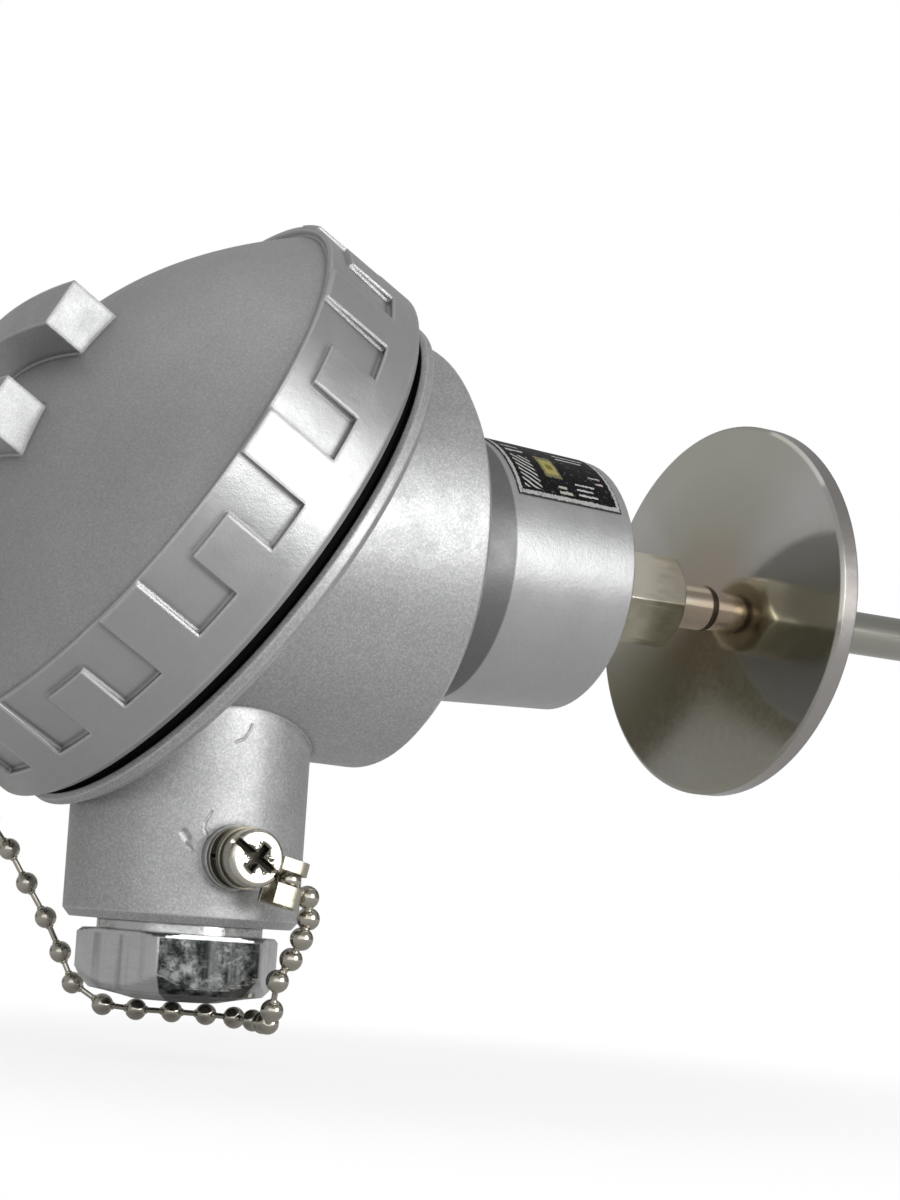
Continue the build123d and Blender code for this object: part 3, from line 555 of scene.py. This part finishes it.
def worn_plating_and_shade(nt, vec, colour, roughness, normal):
    """One flat of the nut has lost its shine; the others keep soft streaks; the nut's underside is painted
    near black as shade.
    """
    rel = vec_calc(nt, "MULTIPLY", vec_calc(nt, "SUBTRACT", vec, ENTRY), (1.0, 1.0, 0.0))
    face = (math.cos(WORN_FLAT_TURN), math.sin(WORN_FLAT_TURN), 0.0)
    lean = vec_calc(nt, "DOT_PRODUCT", vec_calc(nt, "NORMALIZE", rel), face, "Value")
    on_face = span(nt, lean, *FLAT_EDGE)
    height = axis_of(nt, vec, "Z")
    top, low = NUT_TOP_Z * 0.001, NUT_LOW_Z * 0.001
    on_hex = span(nt, height, top - 0.0004, top - 0.0006)
    spots = span(nt, noise(nt, vec, 520.0, 6.0, 0.72), 0.36, 0.60, smooth=True)
    mask = calc(nt, "MULTIPLY", calc(nt, "MULTIPLY", on_face, on_hex), span(nt, spots, 0.0, 1.0, 0.80, 1.0))
    dull = blend(nt, spots, (0.070, 0.078, 0.074), (0.014, 0.017, 0.016))
    colour = blend(nt, mask, colour, dull)
    upright = node(nt, "ShaderNodeMapping", {"Vector": vec, "Scale": (1.0, 1.0, 0.06)}).outputs["Vector"]
    streak = span(nt, noise(nt, upright, 330.0, 3.0, 0.6), 0.50, 0.68, 0.0, 0.6, smooth=True)
    colour = blend(nt, calc(nt, "MULTIPLY", streak, on_hex), colour, (0.22, 0.23, 0.225))
    # painted shade: the nut's lower chamfer and end are painted near black
    under = span(nt, height, low + 0.0002, low - 0.0003, 0.0, 0.85)
    colour = blend(nt, under, colour, (0.04, 0.042, 0.04))
    roughness = calc(nt, "ADD", roughness, calc(nt, "MULTIPLY", mask, 0.22))
    normal = bump(nt, calc(nt, "MULTIPLY", spots, mask), 0.5, 0.00012, normal)
    return colour, roughness, normal


# The screw's head: its cross recess and where the dirt and painted shade sit
RECESS_TURNS = (55.0, -35.0)
RECESS_ARM = 0.0019
HEAD_R = 0.0029
HEAD_H = 0.0022


def screw_dirt_and_shade(nt, vec, colour, roughness, normal):
    """Dark dirt and painted shade in the cross recess and between head and washers."""
    top = max((v.co - SCREW_FOOT).dot(SCREW_WAY) for v in nodes["chain_screw"].data.vertices)
    height, off = axis_parts(nt, vec, SCREW_FOOT, SCREW_WAY)
    low = span(nt, height, top - 0.00015, top - 0.0006)
    sunk = calc(nt, "MULTIPLY", low, span(nt, off, HEAD_R, HEAD_R - 0.0002))
    under = span(nt, height, top - HEAD_H, top - HEAD_H - 0.0005)
    ragged = calc(nt, "ADD", off, span(nt, noise(nt, vec, 900.0, 4.0, 0.7), 0.3, 0.7, -0.0012, 0.0012))
    worn_out = span(nt, ragged, 0.0013, 0.0007, smooth=True)
    rel = vec_calc(nt, "SUBTRACT", vec, SCREW_FOOT)
    edge = span(nt, noise(nt, vec, 1300.0, 3.0, 0.7), 0.35, 0.65, 0.0004, 0.0012)
    reach = span(nt, off, RECESS_ARM + 0.0003, RECESS_ARM)
    for turn in RECESS_TURNS:
        a = math.radians(turn)
        across = SCREW_SIDE * math.cos(a) + UP * math.sin(a)
        gap = calc(nt, "ABSOLUTE", vec_calc(nt, "DOT_PRODUCT", rel, across, "Value"))
        arm = calc(nt, "MULTIPLY", calc(nt, "LESS_THAN", gap, edge), reach)
        worn_out = calc(nt, "MAXIMUM", worn_out, arm)
    # dirt and painted shade together
    mask = calc(nt, "MULTIPLY", calc(nt, "MAXIMUM", calc(nt, "MAXIMUM", sunk, under), worn_out), 0.92)
    colour = blend(nt, mask, colour, (0.035, 0.03, 0.02))
    roughness = calc(nt, "ADD", roughness, calc(nt, "MULTIPLY", mask, 0.35))
    return colour, roughness, normal


def plain_finish(name, base, rough, gloss=0.5):
    """Rubber, ceramic or cement with a fine skin."""
    mat, nt, bsdf = new_mat(name)
    vec = coords(nt)
    marks = use(nt, tool_lines, Vector=vec, Fineness=25.0)
    rounded = use(nt, worn_edge, Radius=0.0002)["Normal"]
    feed(nt, blend(nt, marks["Cloud"], shade(base, 0.88), shade(base, 1.1)), bsdf.inputs["Base Color"])
    feed(nt, bump(nt, marks["Lines"], 0.15, 0.0001, rounded), bsdf.inputs["Normal"])
    bsdf.inputs["Roughness"].default_value = rough
    bsdf.inputs["Specular IOR Level"].default_value = gloss
    return mat


# Inks of the label
PALE = (0.58, 0.58, 0.56)
YELLOW = (0.42, 0.37, 0.12)
OLIVE = (0.20, 0.17, 0.03)
INK = (0.006, 0.006, 0.007)
CREAM = (0.50, 0.49, 0.42)
ROSE = (0.55, 0.45, 0.46)

# How far the label's border and its dark field stand in from left, right and ends, in millimetres
BORDER = (0.12, 0.12, 0.22)
FIELD = (0.62, 0.55, 0.85)

# Hatched block and plain bars of the label in millimetres: left, right, low, high and ink
HATCHED = (1.3, 3.9, 1.3, 7.6)
LABEL_MARKS = [
    (5.3, 7.9, 4.0, 8.6, (0.20, 0.19, 0.10)), (5.7, 7.6, 4.6, 7.8, YELLOW), (6.2, 7.2, 5.6, 6.8, OLIVE),
    (6.6, 8.6, 1.3, 1.8, CREAM), (6.6, 8.0, 2.2, 2.6, CREAM),
    (9.6, 12.6, 1.6, 1.9, PALE), (9.6, 12.2, 2.5, 2.8, PALE), (9.6, 12.6, 3.4, 3.7, PALE),
    (13.2, 14.4, 4.4, 4.8, ROSE), (12.6, 14.4, 5.6, 5.9, ROSE),
    (9.4, 13.4, 9.2, 9.6, PALE), (9.4, 14.2, 10.4, 10.8, PALE), (1.4, 4.0, 8.8, 9.3, PALE),
    (1.4, 4.0, 10.2, 10.6, PALE), (2.0, 13.6, 14.0, 18.0, PALE), (2.0, 4.4, 20.0, 22.4, PALE),
    (5.4, 7.8, 20.0, 22.4, PALE), (8.8, 13.6, 20.0, 22.4, YELLOW), (2.0, 13.6, 24.0, 27.6, PALE),
]


def label_film():
    """Dark printed film with a light border and plain bars."""
    mat, nt, bsdf = new_mat("label_film")
    low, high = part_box("neck_label")
    vec = coords(nt)
    parts = node(nt, "ShaderNodeSeparateXYZ", {0: vec}).outputs
    across = calc(nt, "MULTIPLY", calc(nt, "SUBTRACT", parts["X"], low[0]), 1000.0)
    turn = calc(nt, "ARCTAN2", parts["Z"], calc(nt, "MULTIPLY", parts["Y"], -1.0))
    round_mm = calc(nt, "MULTIPLY", calc(nt, "SUBTRACT", turn, LABEL_LOW_ANGLE), LABEL_R * 1000.0)
    width = (high[0] - low[0]) * 1000.0
    length = (math.pi - 2.0 * LABEL_LOW_ANGLE) * LABEL_R * 1000.0
    fray = span(nt, noise(nt, vec, 2600.0, 3.0, 0.7), 0.3, 0.7, -0.12, 0.12)
    across = calc(nt, "ADD", across, fray)
    round_mm = calc(nt, "ADD", round_mm, fray)

    def bar(left, right, down, up):
        sides = {"Left": left, "Right": right, "Low": down, "High": up}
        return use(nt, printed_bar, Across=across, Round=round_mm, **sides)["Mask"]

    def inside(left, right, end):
        return bar(left, width - right, end, length - end)

    rim = inside(*BORDER)
    colour = blend(nt, rim, (0.05, 0.05, 0.05), (0.50, 0.50, 0.49))
    field = inside(*FIELD)
    colour = blend(nt, field, colour, INK)
    hatch = node(nt, "ShaderNodeTexWave", {"Vector": vec, "Scale": 460.0, "Distortion": 2.0, "Detail": 2.0},
                 bands_direction="DIAGONAL")
    lines = calc(nt, "MULTIPLY", bar(*HATCHED), span(nt, hatch.outputs["Fac"], 0.55, 0.8))
    colour = blend(nt, lines, colour, PALE)
    for *sides, ink in LABEL_MARKS:
        colour = blend(nt, bar(*sides), colour, ink)
    worn = span(nt, noise(nt, vec, 1100.0, 5.0, 0.8), 0.55, 0.62, 0.0, 0.75)
    worn = calc(nt, "MULTIPLY", worn, calc(nt, "SUBTRACT", 1.0, field))
    colour = blend(nt, worn, colour, (0.16, 0.16, 0.16))
    smear = span(nt, noise(nt, vec, 1500.0, 4.0, 0.8), 0.60, 0.66, 0.0, 0.55)
    colour = blend(nt, calc(nt, "MULTIPLY", smear, field), colour, (0.30, 0.30, 0.29))
    feed(nt, colour, bsdf.inputs["Base Color"])
    feed(nt, span(nt, noise(nt, vec, 700.0, 3.0), 0.3, 0.7, 0.34, 0.5), bsdf.inputs["Roughness"])
    bsdf.inputs["Specular IOR Level"].default_value = 0.08
    feed(nt, bump(nt, noise(nt, vec, 1800.0, 3.0), 0.15, 0.0001), bsdf.inputs["Normal"])
    return mat


silver = cast_finish("silver_body", (0.485, 0.487, 0.49), (0.85, 1.18), 0.0004, machined_collar,
                     flake_scale=5200.0, gap_side=1.0, dark=shaded_neck, flaws=BOSS_FLAWS)
silver_cap = cast_finish("silver_cap", (0.44, 0.442, 0.443), (0.90, 1.12), 0.0006, rubbed_rim,
                         flake_scale=6000.0, gap_side=-1.0)
flange_steel = metal_finish("turned_flange", (0.66, 0.65, 0.625), 0.10, aniso=0.15, axis="X", cut=0.005,
                            edge=0.0003, extra=turned_face, vary=0.03, lift=0.1)
tube_steel = metal_finish("drawn_tube", (0.41, 0.405, 0.36), 0.15, stretch=(6.0, 160.0, 160.0),
                          extra=dark_rings_and_painted_light)
hex_steel = metal_finish("hex_steel", (0.90, 0.84, 0.71), 0.19, stretch=(20.0, 60.0, 60.0), cut=0.02,
                         edge=0.0003, extra=darker_facing_down)
nut_plate = metal_finish("nut_plate", (0.60, 0.61, 0.60), 0.20, stretch=(150.0, 150.0, 14.0), cut=0.12,
                         edge=0.0003, wobble=0.20, extra=worn_plating_and_shade, lift=0.7)
nickel = metal_finish("ball_nickel", (0.50, 0.475, 0.41), 0.11, edge=0.00005, wobble=0.04)
zinc = metal_finish("zinc_plate", (0.50, 0.475, 0.38), 0.28, wobble=0.12, vary=0.12)
screw_zinc = metal_finish("screw_zinc", (0.60, 0.57, 0.50), 0.24, wobble=0.12, vary=0.2, extra=screw_dirt_and_shade)
dull_zinc = metal_finish("dull_washer", (0.15, 0.14, 0.105), 0.32, wobble=0.12, vary=0.2, lift=0.8)
dark_zinc = metal_finish("dark_washer", (0.055, 0.05, 0.033), 0.38, wobble=0.12, vary=0.2, lift=0.5)
brass = metal_finish("brass", (0.72, 0.55, 0.28), 0.30)
rubber = plain_finish("rubber", (0.006, 0.006, 0.006), 0.9, gloss=0.08)
ceramic = plain_finish("ceramic", (0.78, 0.76, 0.70), 0.35)
dark_glaze = plain_finish("dark_glaze", (0.10, 0.07, 0.05), 0.2)
cement = plain_finish("cement", (0.66, 0.62, 0.52), 0.8)

finish_of = {
    "housing": silver, "screw_cap": silver_cap, "cap_gasket": rubber, "neck_label": label_film(),
    "hex_fitting": hex_steel, "stem_tube": tube_steel, "tip_plug": tube_steel,
    "process_flange": flange_steel, "flange_weld": tube_steel, "sensing_element": dark_glaze,
    "lead_wires": nickel, "insulator_core": ceramic, "tip_potting": cement, "gland_nut": nut_plate,
    "gland_washer": zinc, "gland_grommet": rubber, "chain_screw": screw_zinc,
    "flat_washers": dull_zinc, "spring_washer": dark_zinc, "chain_clip": zinc, "bead_chain": nickel,
    "cap_eye": nickel, "terminal_block": ceramic, "terminal_clamps": brass, "terminal_screws": zinc,
    "block_screws": zinc, "block_springs": tube_steel,
}
for name, obj in nodes.items():
    obj.data.materials.clear()
    obj.data.materials.append(finish_of[name])


# Ball chain
def chain_line(points):
    """The chain's smooth centre line through its route."""
    curve = bpy.data.curves.new("chain_route", "CURVE")
    curve.dimensions = "3D"
    curve.resolution_u = 20
    spline = curve.splines.new("NURBS")
    spline.points.add(len(points) - 1)
    for knot, point in zip(spline.points, points):
        knot.co = (*point, 1.0)
    spline.order_u = 3
    spline.use_endpoint_u = True
    guide = bpy.data.objects.new("chain_route", curve)
    mesh = bpy.data.meshes.new_from_object(guide)
    line = [v.co.copy() for v in mesh.vertices]
    bpy.data.objects.remove(guide)
    bpy.data.meshes.remove(mesh)
    return line


def add_ball(bm, place, way):
    """A pressed ball: round, with a shallow mouth at each end where a link goes in."""
    turn = way.to_track_quat("Z", "Y").to_matrix().to_4x4()
    made = bmesh.ops.create_uvsphere(bm, u_segments=24, v_segments=16, radius=BALL_R)
    for v in made["verts"]:
        side = math.hypot(v.co.x, v.co.y)
        if side < BALL_MOUTH_R:
            v.co.z *= 1.0 - BALL_MOUTH_DEPTH * (1.0 - (side / BALL_MOUTH_R) ** 2)
    bmesh.ops.transform(bm, matrix=Matrix.Translation(place) @ turn, verts=made["verts"])


def add_link(bm, start, stop):
    """A thin rod from ball to ball, a little thicker where it goes in."""
    way = stop - start
    place = Matrix.Translation(start) @ way.to_track_quat("Z", "Y").to_matrix().to_4x4()
    near_end = [(BALL_R * t, LINK_R * thicker) for t, thicker in LINK_END]
    far_end = [(way.length - t, r) for t, r in reversed(near_end)]
    rings = []
    for t, r in near_end + far_end:
        steps = [math.tau * k / LINK_STEPS for k in range(LINK_STEPS)]
        spots = [place @ Vector((r * math.cos(a), r * math.sin(a), t)) for a in steps]
        rings.append([bm.verts.new(spot) for spot in spots])
    for low, high in zip(rings, rings[1:]):
        join_rings(bm, low, high)
    bm.faces.new(tuple(reversed(rings[0])))
    bm.faces.new(rings[-1])


def add_chain():
    balls = [CHAIN_START] + [CHAIN_FOOT + Vector(p) * 0.001 for p in CHAIN_STEPS] + [CHAIN_END]
    line = chain_line(balls)
    places = [min(line, key=lambda p, c=c: (p - c).length) for c in balls]

    def build(bm):
        for k, place in enumerate(places):
            way = places[min(k + 1, len(places) - 1)] - places[max(k - 1, 0)]
            add_ball(bm, place, way)
        for start, stop in zip(places, places[1:]):
            add_link(bm, start, stop)

    chain = mesh_object("ball_chain", build)
    finish_piece(chain, nickel, "head", "bead_chain")


# Hexagon pieces, turned with chamfers and bored through
def hexagon_reach(angle, corner, across):
    off = (angle - corner) % math.radians(60.0) - math.radians(30.0)
    return across / 2.0 / math.cos(off)


def in_steps(profile):
    """Splits the profile's sloped runs, so that chamfers meet the flats in smooth arcs."""
    points = [profile[0]]
    for start, stop in zip(profile, profile[1:]):
        count = CHAMFER_STEPS if start[0] != stop[0] and start[1] != stop[1] else 1
        for k in range(1, count + 1):
            points.append(tuple(a + (b - a) * k / count for a, b in zip(start, stop)))
    return points


def turned_hexagon(bm, outside, bore, corner, across, place):
    """outside and bore are runs of (distance along the axis, radius) in millimetres."""
    rings = []
    for along, radius in in_steps(outside) + in_steps(bore)[::-1]:
        ring = []
        for k in range(RING_STEPS):
            angle = corner + math.tau * k / RING_STEPS
            r = min(radius, hexagon_reach(angle, corner, across))
            spot = Vector(place(along, r * math.cos(angle), r * math.sin(angle)))
            ring.append(bm.verts.new(spot * 0.001))
        rings.append(ring)
    for ring, after in zip(rings, rings[1:] + rings[:1]):
        join_rings(bm, ring, after)
    bmesh.ops.recalc_face_normals(bm, faces=bm.faces)


def add_fitting():
    start, stop, thread_x = FITTING_START_X, FITTING_END_X, FITTING_START_X - FITTING_THREAD_LEN
    outside = [(thread_x, FITTING_THREAD_R), (start, FITTING_THREAD_R), (start, 6.2), (start + 0.5, 7.0),
               (stop - 1.5, 7.0), (stop - 0.5, 6.0), (stop, 5.0)]
    bore = [(thread_x, FITTING_BORE_R), (start + 0.5, FITTING_BORE_R), (start + 0.5, TUBE_R),
            (stop, TUBE_R)]
    piece = mesh_object("hexagon_fitting", lambda bm: turned_hexagon(
        bm, outside, bore, FITTING_CORNER, FITTING_ACROSS, lambda t, u, v: (t, u, v)))
    finish_piece(piece, hex_steel, "head", "hex_fitting")


def add_nut():
    outside = [(NUT_STUB_TOP_Z, NUT_STUB_R), (NUT_NECK_TOP_Z, NUT_STUB_R), (NUT_NECK_TOP_Z, NUT_NECK_R),
               (NUT_TOP_Z, NUT_NECK_R), (NUT_TOP_Z, 11.6), (NUT_TOP_Z - 0.5, NUT_CORNER_R),
               (NUT_LOW_Z + 2.4, NUT_CORNER_R), (NUT_LOW_Z, 10.4), (NUT_LOW_Z - 0.3, 8.6),
               (NUT_LOW_Z - 0.7, 6.6), (NUT_END_Z, 5.3)]
    bore = [(NUT_STUB_TOP_Z, NUT_BORE_R), (NUT_END_Z, NUT_BORE_R)]
    piece = mesh_object("gland_hexagon", lambda bm: turned_hexagon(
        bm, outside, bore, NUT_CORNER, NUT_ACROSS, lambda t, u, v: (ENTRY.x * 1000.0 + u, v, t)))
    finish_piece(piece, nut_plate, "nut", "gland_nut")


# Chain clip: an eyelet with a strap that folds round the first ball, split from the fold to its end
def strap_path(back, front):
    """The fold's middle line as (reach from the screw, height on the screw's axis)."""
    reach = CLIP_REACH - CLIP_T / 2
    bend_foot = reach - CLIP_BEND
    quarter = [math.radians(90.0 * k / BEND_STEPS) for k in range(BEND_STEPS + 1)]
    points = [(CLIP_FOOT, back)]
    for a in quarter:
        points.append((bend_foot + CLIP_BEND * math.sin(a), back + CLIP_BEND - CLIP_BEND * math.cos(a)))
    for a in quarter:
        points.append((bend_foot + CLIP_BEND * math.cos(a), front - CLIP_BEND + CLIP_BEND * math.sin(a)))
    points.append((reach - CLIP_LAP, front))
    return points


def add_band(bm, path, band, to_world):
    """A strip of sheet along the path."""
    low, high = band
    rings = []
    for k, point in enumerate(path):
        before, after = path[max(k - 1, 0)], path[min(k + 1, len(path) - 1)]
        along = Vector((after[0] - before[0], after[1] - before[1])).normalized()
        side = Vector((along.y, -along.x)) * (CLIP_T / 2)
        edge = []
        for sign, level in ((-1, low), (1, low), (1, high), (-1, high)):
            edge.append(bm.verts.new(to_world(point[0] + sign * side.x, level, point[1] + sign * side.y)))
        rings.append(edge)
    for ring, after in zip(rings, rings[1:]):
        join_rings(bm, ring, after)
    bm.faces.new(rings[0][::-1])
    bm.faces.new(rings[-1])


def add_eyelet(bm, level, to_world):
    rings = []
    steps = [math.tau * k / EYELET_STEPS for k in range(EYELET_STEPS)]
    for r, h in ((EYELET_R, 0.0), (EYELET_R, CLIP_T), (EYELET_HOLE_R, CLIP_T), (EYELET_HOLE_R, 0.0)):
        rings.append([bm.verts.new(to_world(r * math.cos(a), r * math.sin(a), level + h)) for a in steps])
    for ring, after in zip(rings, rings[1:] + rings[:1]):
        join_rings(bm, ring, after)


def add_clip():
    levels = [(v.co - SCREW_FOOT).dot(SCREW_WAY) for v in nodes["chain_clip"].data.vertices]
    back, front = min(levels), max(levels)
    reach_way = SCREW_SIDE * math.cos(CLIP_TILT) + UP * math.sin(CLIP_TILT)
    up_way = UP * math.cos(CLIP_TILT) - SCREW_SIDE * math.sin(CLIP_TILT)

    def to_world(reach, level, out):
        return SCREW_FOOT + reach_way * reach + up_way * level + SCREW_WAY * out

    def build(bm):
        path = strap_path(back + CLIP_T / 2, front - CLIP_T / 2)
        add_band(bm, path, UPPER_BAND, to_world)
        add_band(bm, path, LOWER_BAND, to_world)
        add_band(bm, path[:2], (LOWER_BAND[1], UPPER_BAND[0]), to_world)
        add_eyelet(bm, back, to_world)
        bmesh.ops.recalc_face_normals(bm, faces=bm.faces)

    finish_piece(mesh_object("strap_clip", build), zinc, "head", "chain_clip")


# Stage: floor, background, lamps, and a tent that only reflections see
FLOOR_Z = -0.0635
FLOOR_MIDDLE = (-0.06, 0.0, 0.0)
SHADOW_R = (0.045, 0.12)
WORLD_DIFFUSE = 0.45
KEY_PLACE = (0.30, -0.85, 0.22)
TOP_PLACE = (-0.25, 0.1, 0.9)
LAMP_TARGET = (-0.05, 0.0, 0.0)
TENT_LOW = (0.48, 0.48, 0.48)
TENT_HIGH = (0.37, 0.37, 0.37)
# Patches of the tent: azimuth, elevation, inner and outer angle in degrees, colour
TENT_PATCHES = [
    (-140, 32, 10, 30, (0.44, 0.44, 0.44)),
    (-142, -12, 12, 30, (0.13, 0.12, 0.09)),
    (-38, 0, 14, 40, (1.35, 1.35, 1.35)),
    (100, -10, 10, 60, (0.22, 0.22, 0.22)),
    (-8, 2, 10, 28, (1.65, 1.65, 1.65)),
    (23, 5, 11, 25, (1.3, 1.3, 1.3)),
    (17, -5, 8, 20, (3.6, 3.6, 3.6)),
]


def add_floor():
    """A pale floor that keeps the shadow near the object and is white further out."""
    grid = {"x_segments": 2, "y_segments": 2, "size": 12.0}
    floor = mesh_object("floor", lambda bm: bmesh.ops.create_grid(bm, **grid))
    floor.location = (0.0, 0.0, FLOOR_Z)
    mat, nt, bsdf = new_mat("pale_floor")
    vec = coords(nt)
    feed(nt, blend(nt, noise(nt, vec, 2.0), (0.86, 0.86, 0.86), (0.9, 0.9, 0.9)), bsdf.inputs["Base Color"])
    bsdf.inputs["Roughness"].default_value = 0.9
    bsdf.inputs["Specular IOR Level"].default_value = 0.1
    seen = node(nt, "ShaderNodeLightPath").outputs["Is Camera Ray"]
    far = vec_calc(nt, "DISTANCE", vec, FLOOR_MIDDLE, "Value")
    share = calc(nt, "MULTIPLY", seen, span(nt, far, *SHADOW_R, 0.84, 1.0, smooth=True))
    glow = node(nt, "ShaderNodeEmission", {"Color": (1, 1, 1, 1), "Strength": 1.0})
    mixer = node(nt, "ShaderNodeMixShader", {0: share, 1: bsdf.outputs[0], 2: glow.outputs[0]})
    feed(nt, mixer.outputs[0], nt.nodes["Material Output"].inputs["Surface"])
    floor.data.materials.append(mat)


def add_world():
    world = bpy.data.worlds.new("studio")
    scene.world = world
    world.use_nodes = True
    nt = world.node_tree
    back = nt.nodes["Background"]
    back.inputs["Color"].default_value = (1.0, 1.0, 1.0, 1.0)
    path = node(nt, "ShaderNodeLightPath").outputs
    seen = calc(nt, "MAXIMUM", path["Is Glossy Ray"], path["Is Transmission Ray"])
    seen = calc(nt, "MAXIMUM", path["Is Camera Ray"], seen)
    feed(nt, span(nt, seen, 0.0, 1.0, WORLD_DIFFUSE, 1.0), back.inputs["Strength"])


def area(name, place, size, power):
    data = bpy.data.lights.new(name, "AREA")
    data.shape = "RECTANGLE"
    data.size = size
    data.size_y = size
    data.energy = power
    lamp = show(bpy.data.objects.new(name, data))
    lamp.location = place
    lamp.rotation_euler = (Vector(LAMP_TARGET) - Vector(place)).to_track_quat("-Z", "Y").to_euler()


def toward(nt, vec, az, el, inner, outer):
    """1 near that direction, falling to 0 outside it; azimuth 0 is -Y, angles in degrees."""
    a, e = math.radians(az), math.radians(el)
    way = (math.sin(a) * math.cos(e), -math.cos(a) * math.cos(e), math.sin(e))
    facing = vec_calc(nt, "DOT_PRODUCT", vec, way, "Value")
    return span(nt, facing, math.cos(math.radians(outer)), math.cos(math.radians(inner)), smooth=True)


def add_tent():
    """A studio tent round the set, which only reflections see."""
    ball = {"u_segments": 32, "v_segments": 16, "radius": 3.0}
    tent = mesh_object("tent", lambda bm: bmesh.ops.create_uvsphere(bm, **ball))
    mat, nt, bsdf = new_mat("tent")
    nt.nodes.remove(bsdf)
    way = vec_calc(nt, "NORMALIZE", coords(nt))
    sky = blend(nt, toward(nt, way, 0, 90, 20, 110), TENT_LOW, TENT_HIGH)
    for az, el, inner, outer, col in TENT_PATCHES:
        sky = blend(nt, toward(nt, way, az, el, inner, outer), sky, col)
    light = node(nt, "ShaderNodeEmission", {"Color": sky, "Strength": 1.0})
    feed(nt, light.outputs[0], nt.nodes["Material Output"].inputs["Surface"])
    tent.data.materials.append(mat)
    tent.visible_camera = False
    tent.visible_diffuse = False
    tent.visible_transmission = False
    tent.visible_shadow = False


add_camera()
add_chain()
add_fitting()
add_nut()
add_clip()
add_floor()
add_world()
area("key", KEY_PLACE, 0.55, 3.3)
area("top", TOP_PLACE, 0.7, 0.6)
add_tent()

scene.view_settings.view_transform = "Standard"
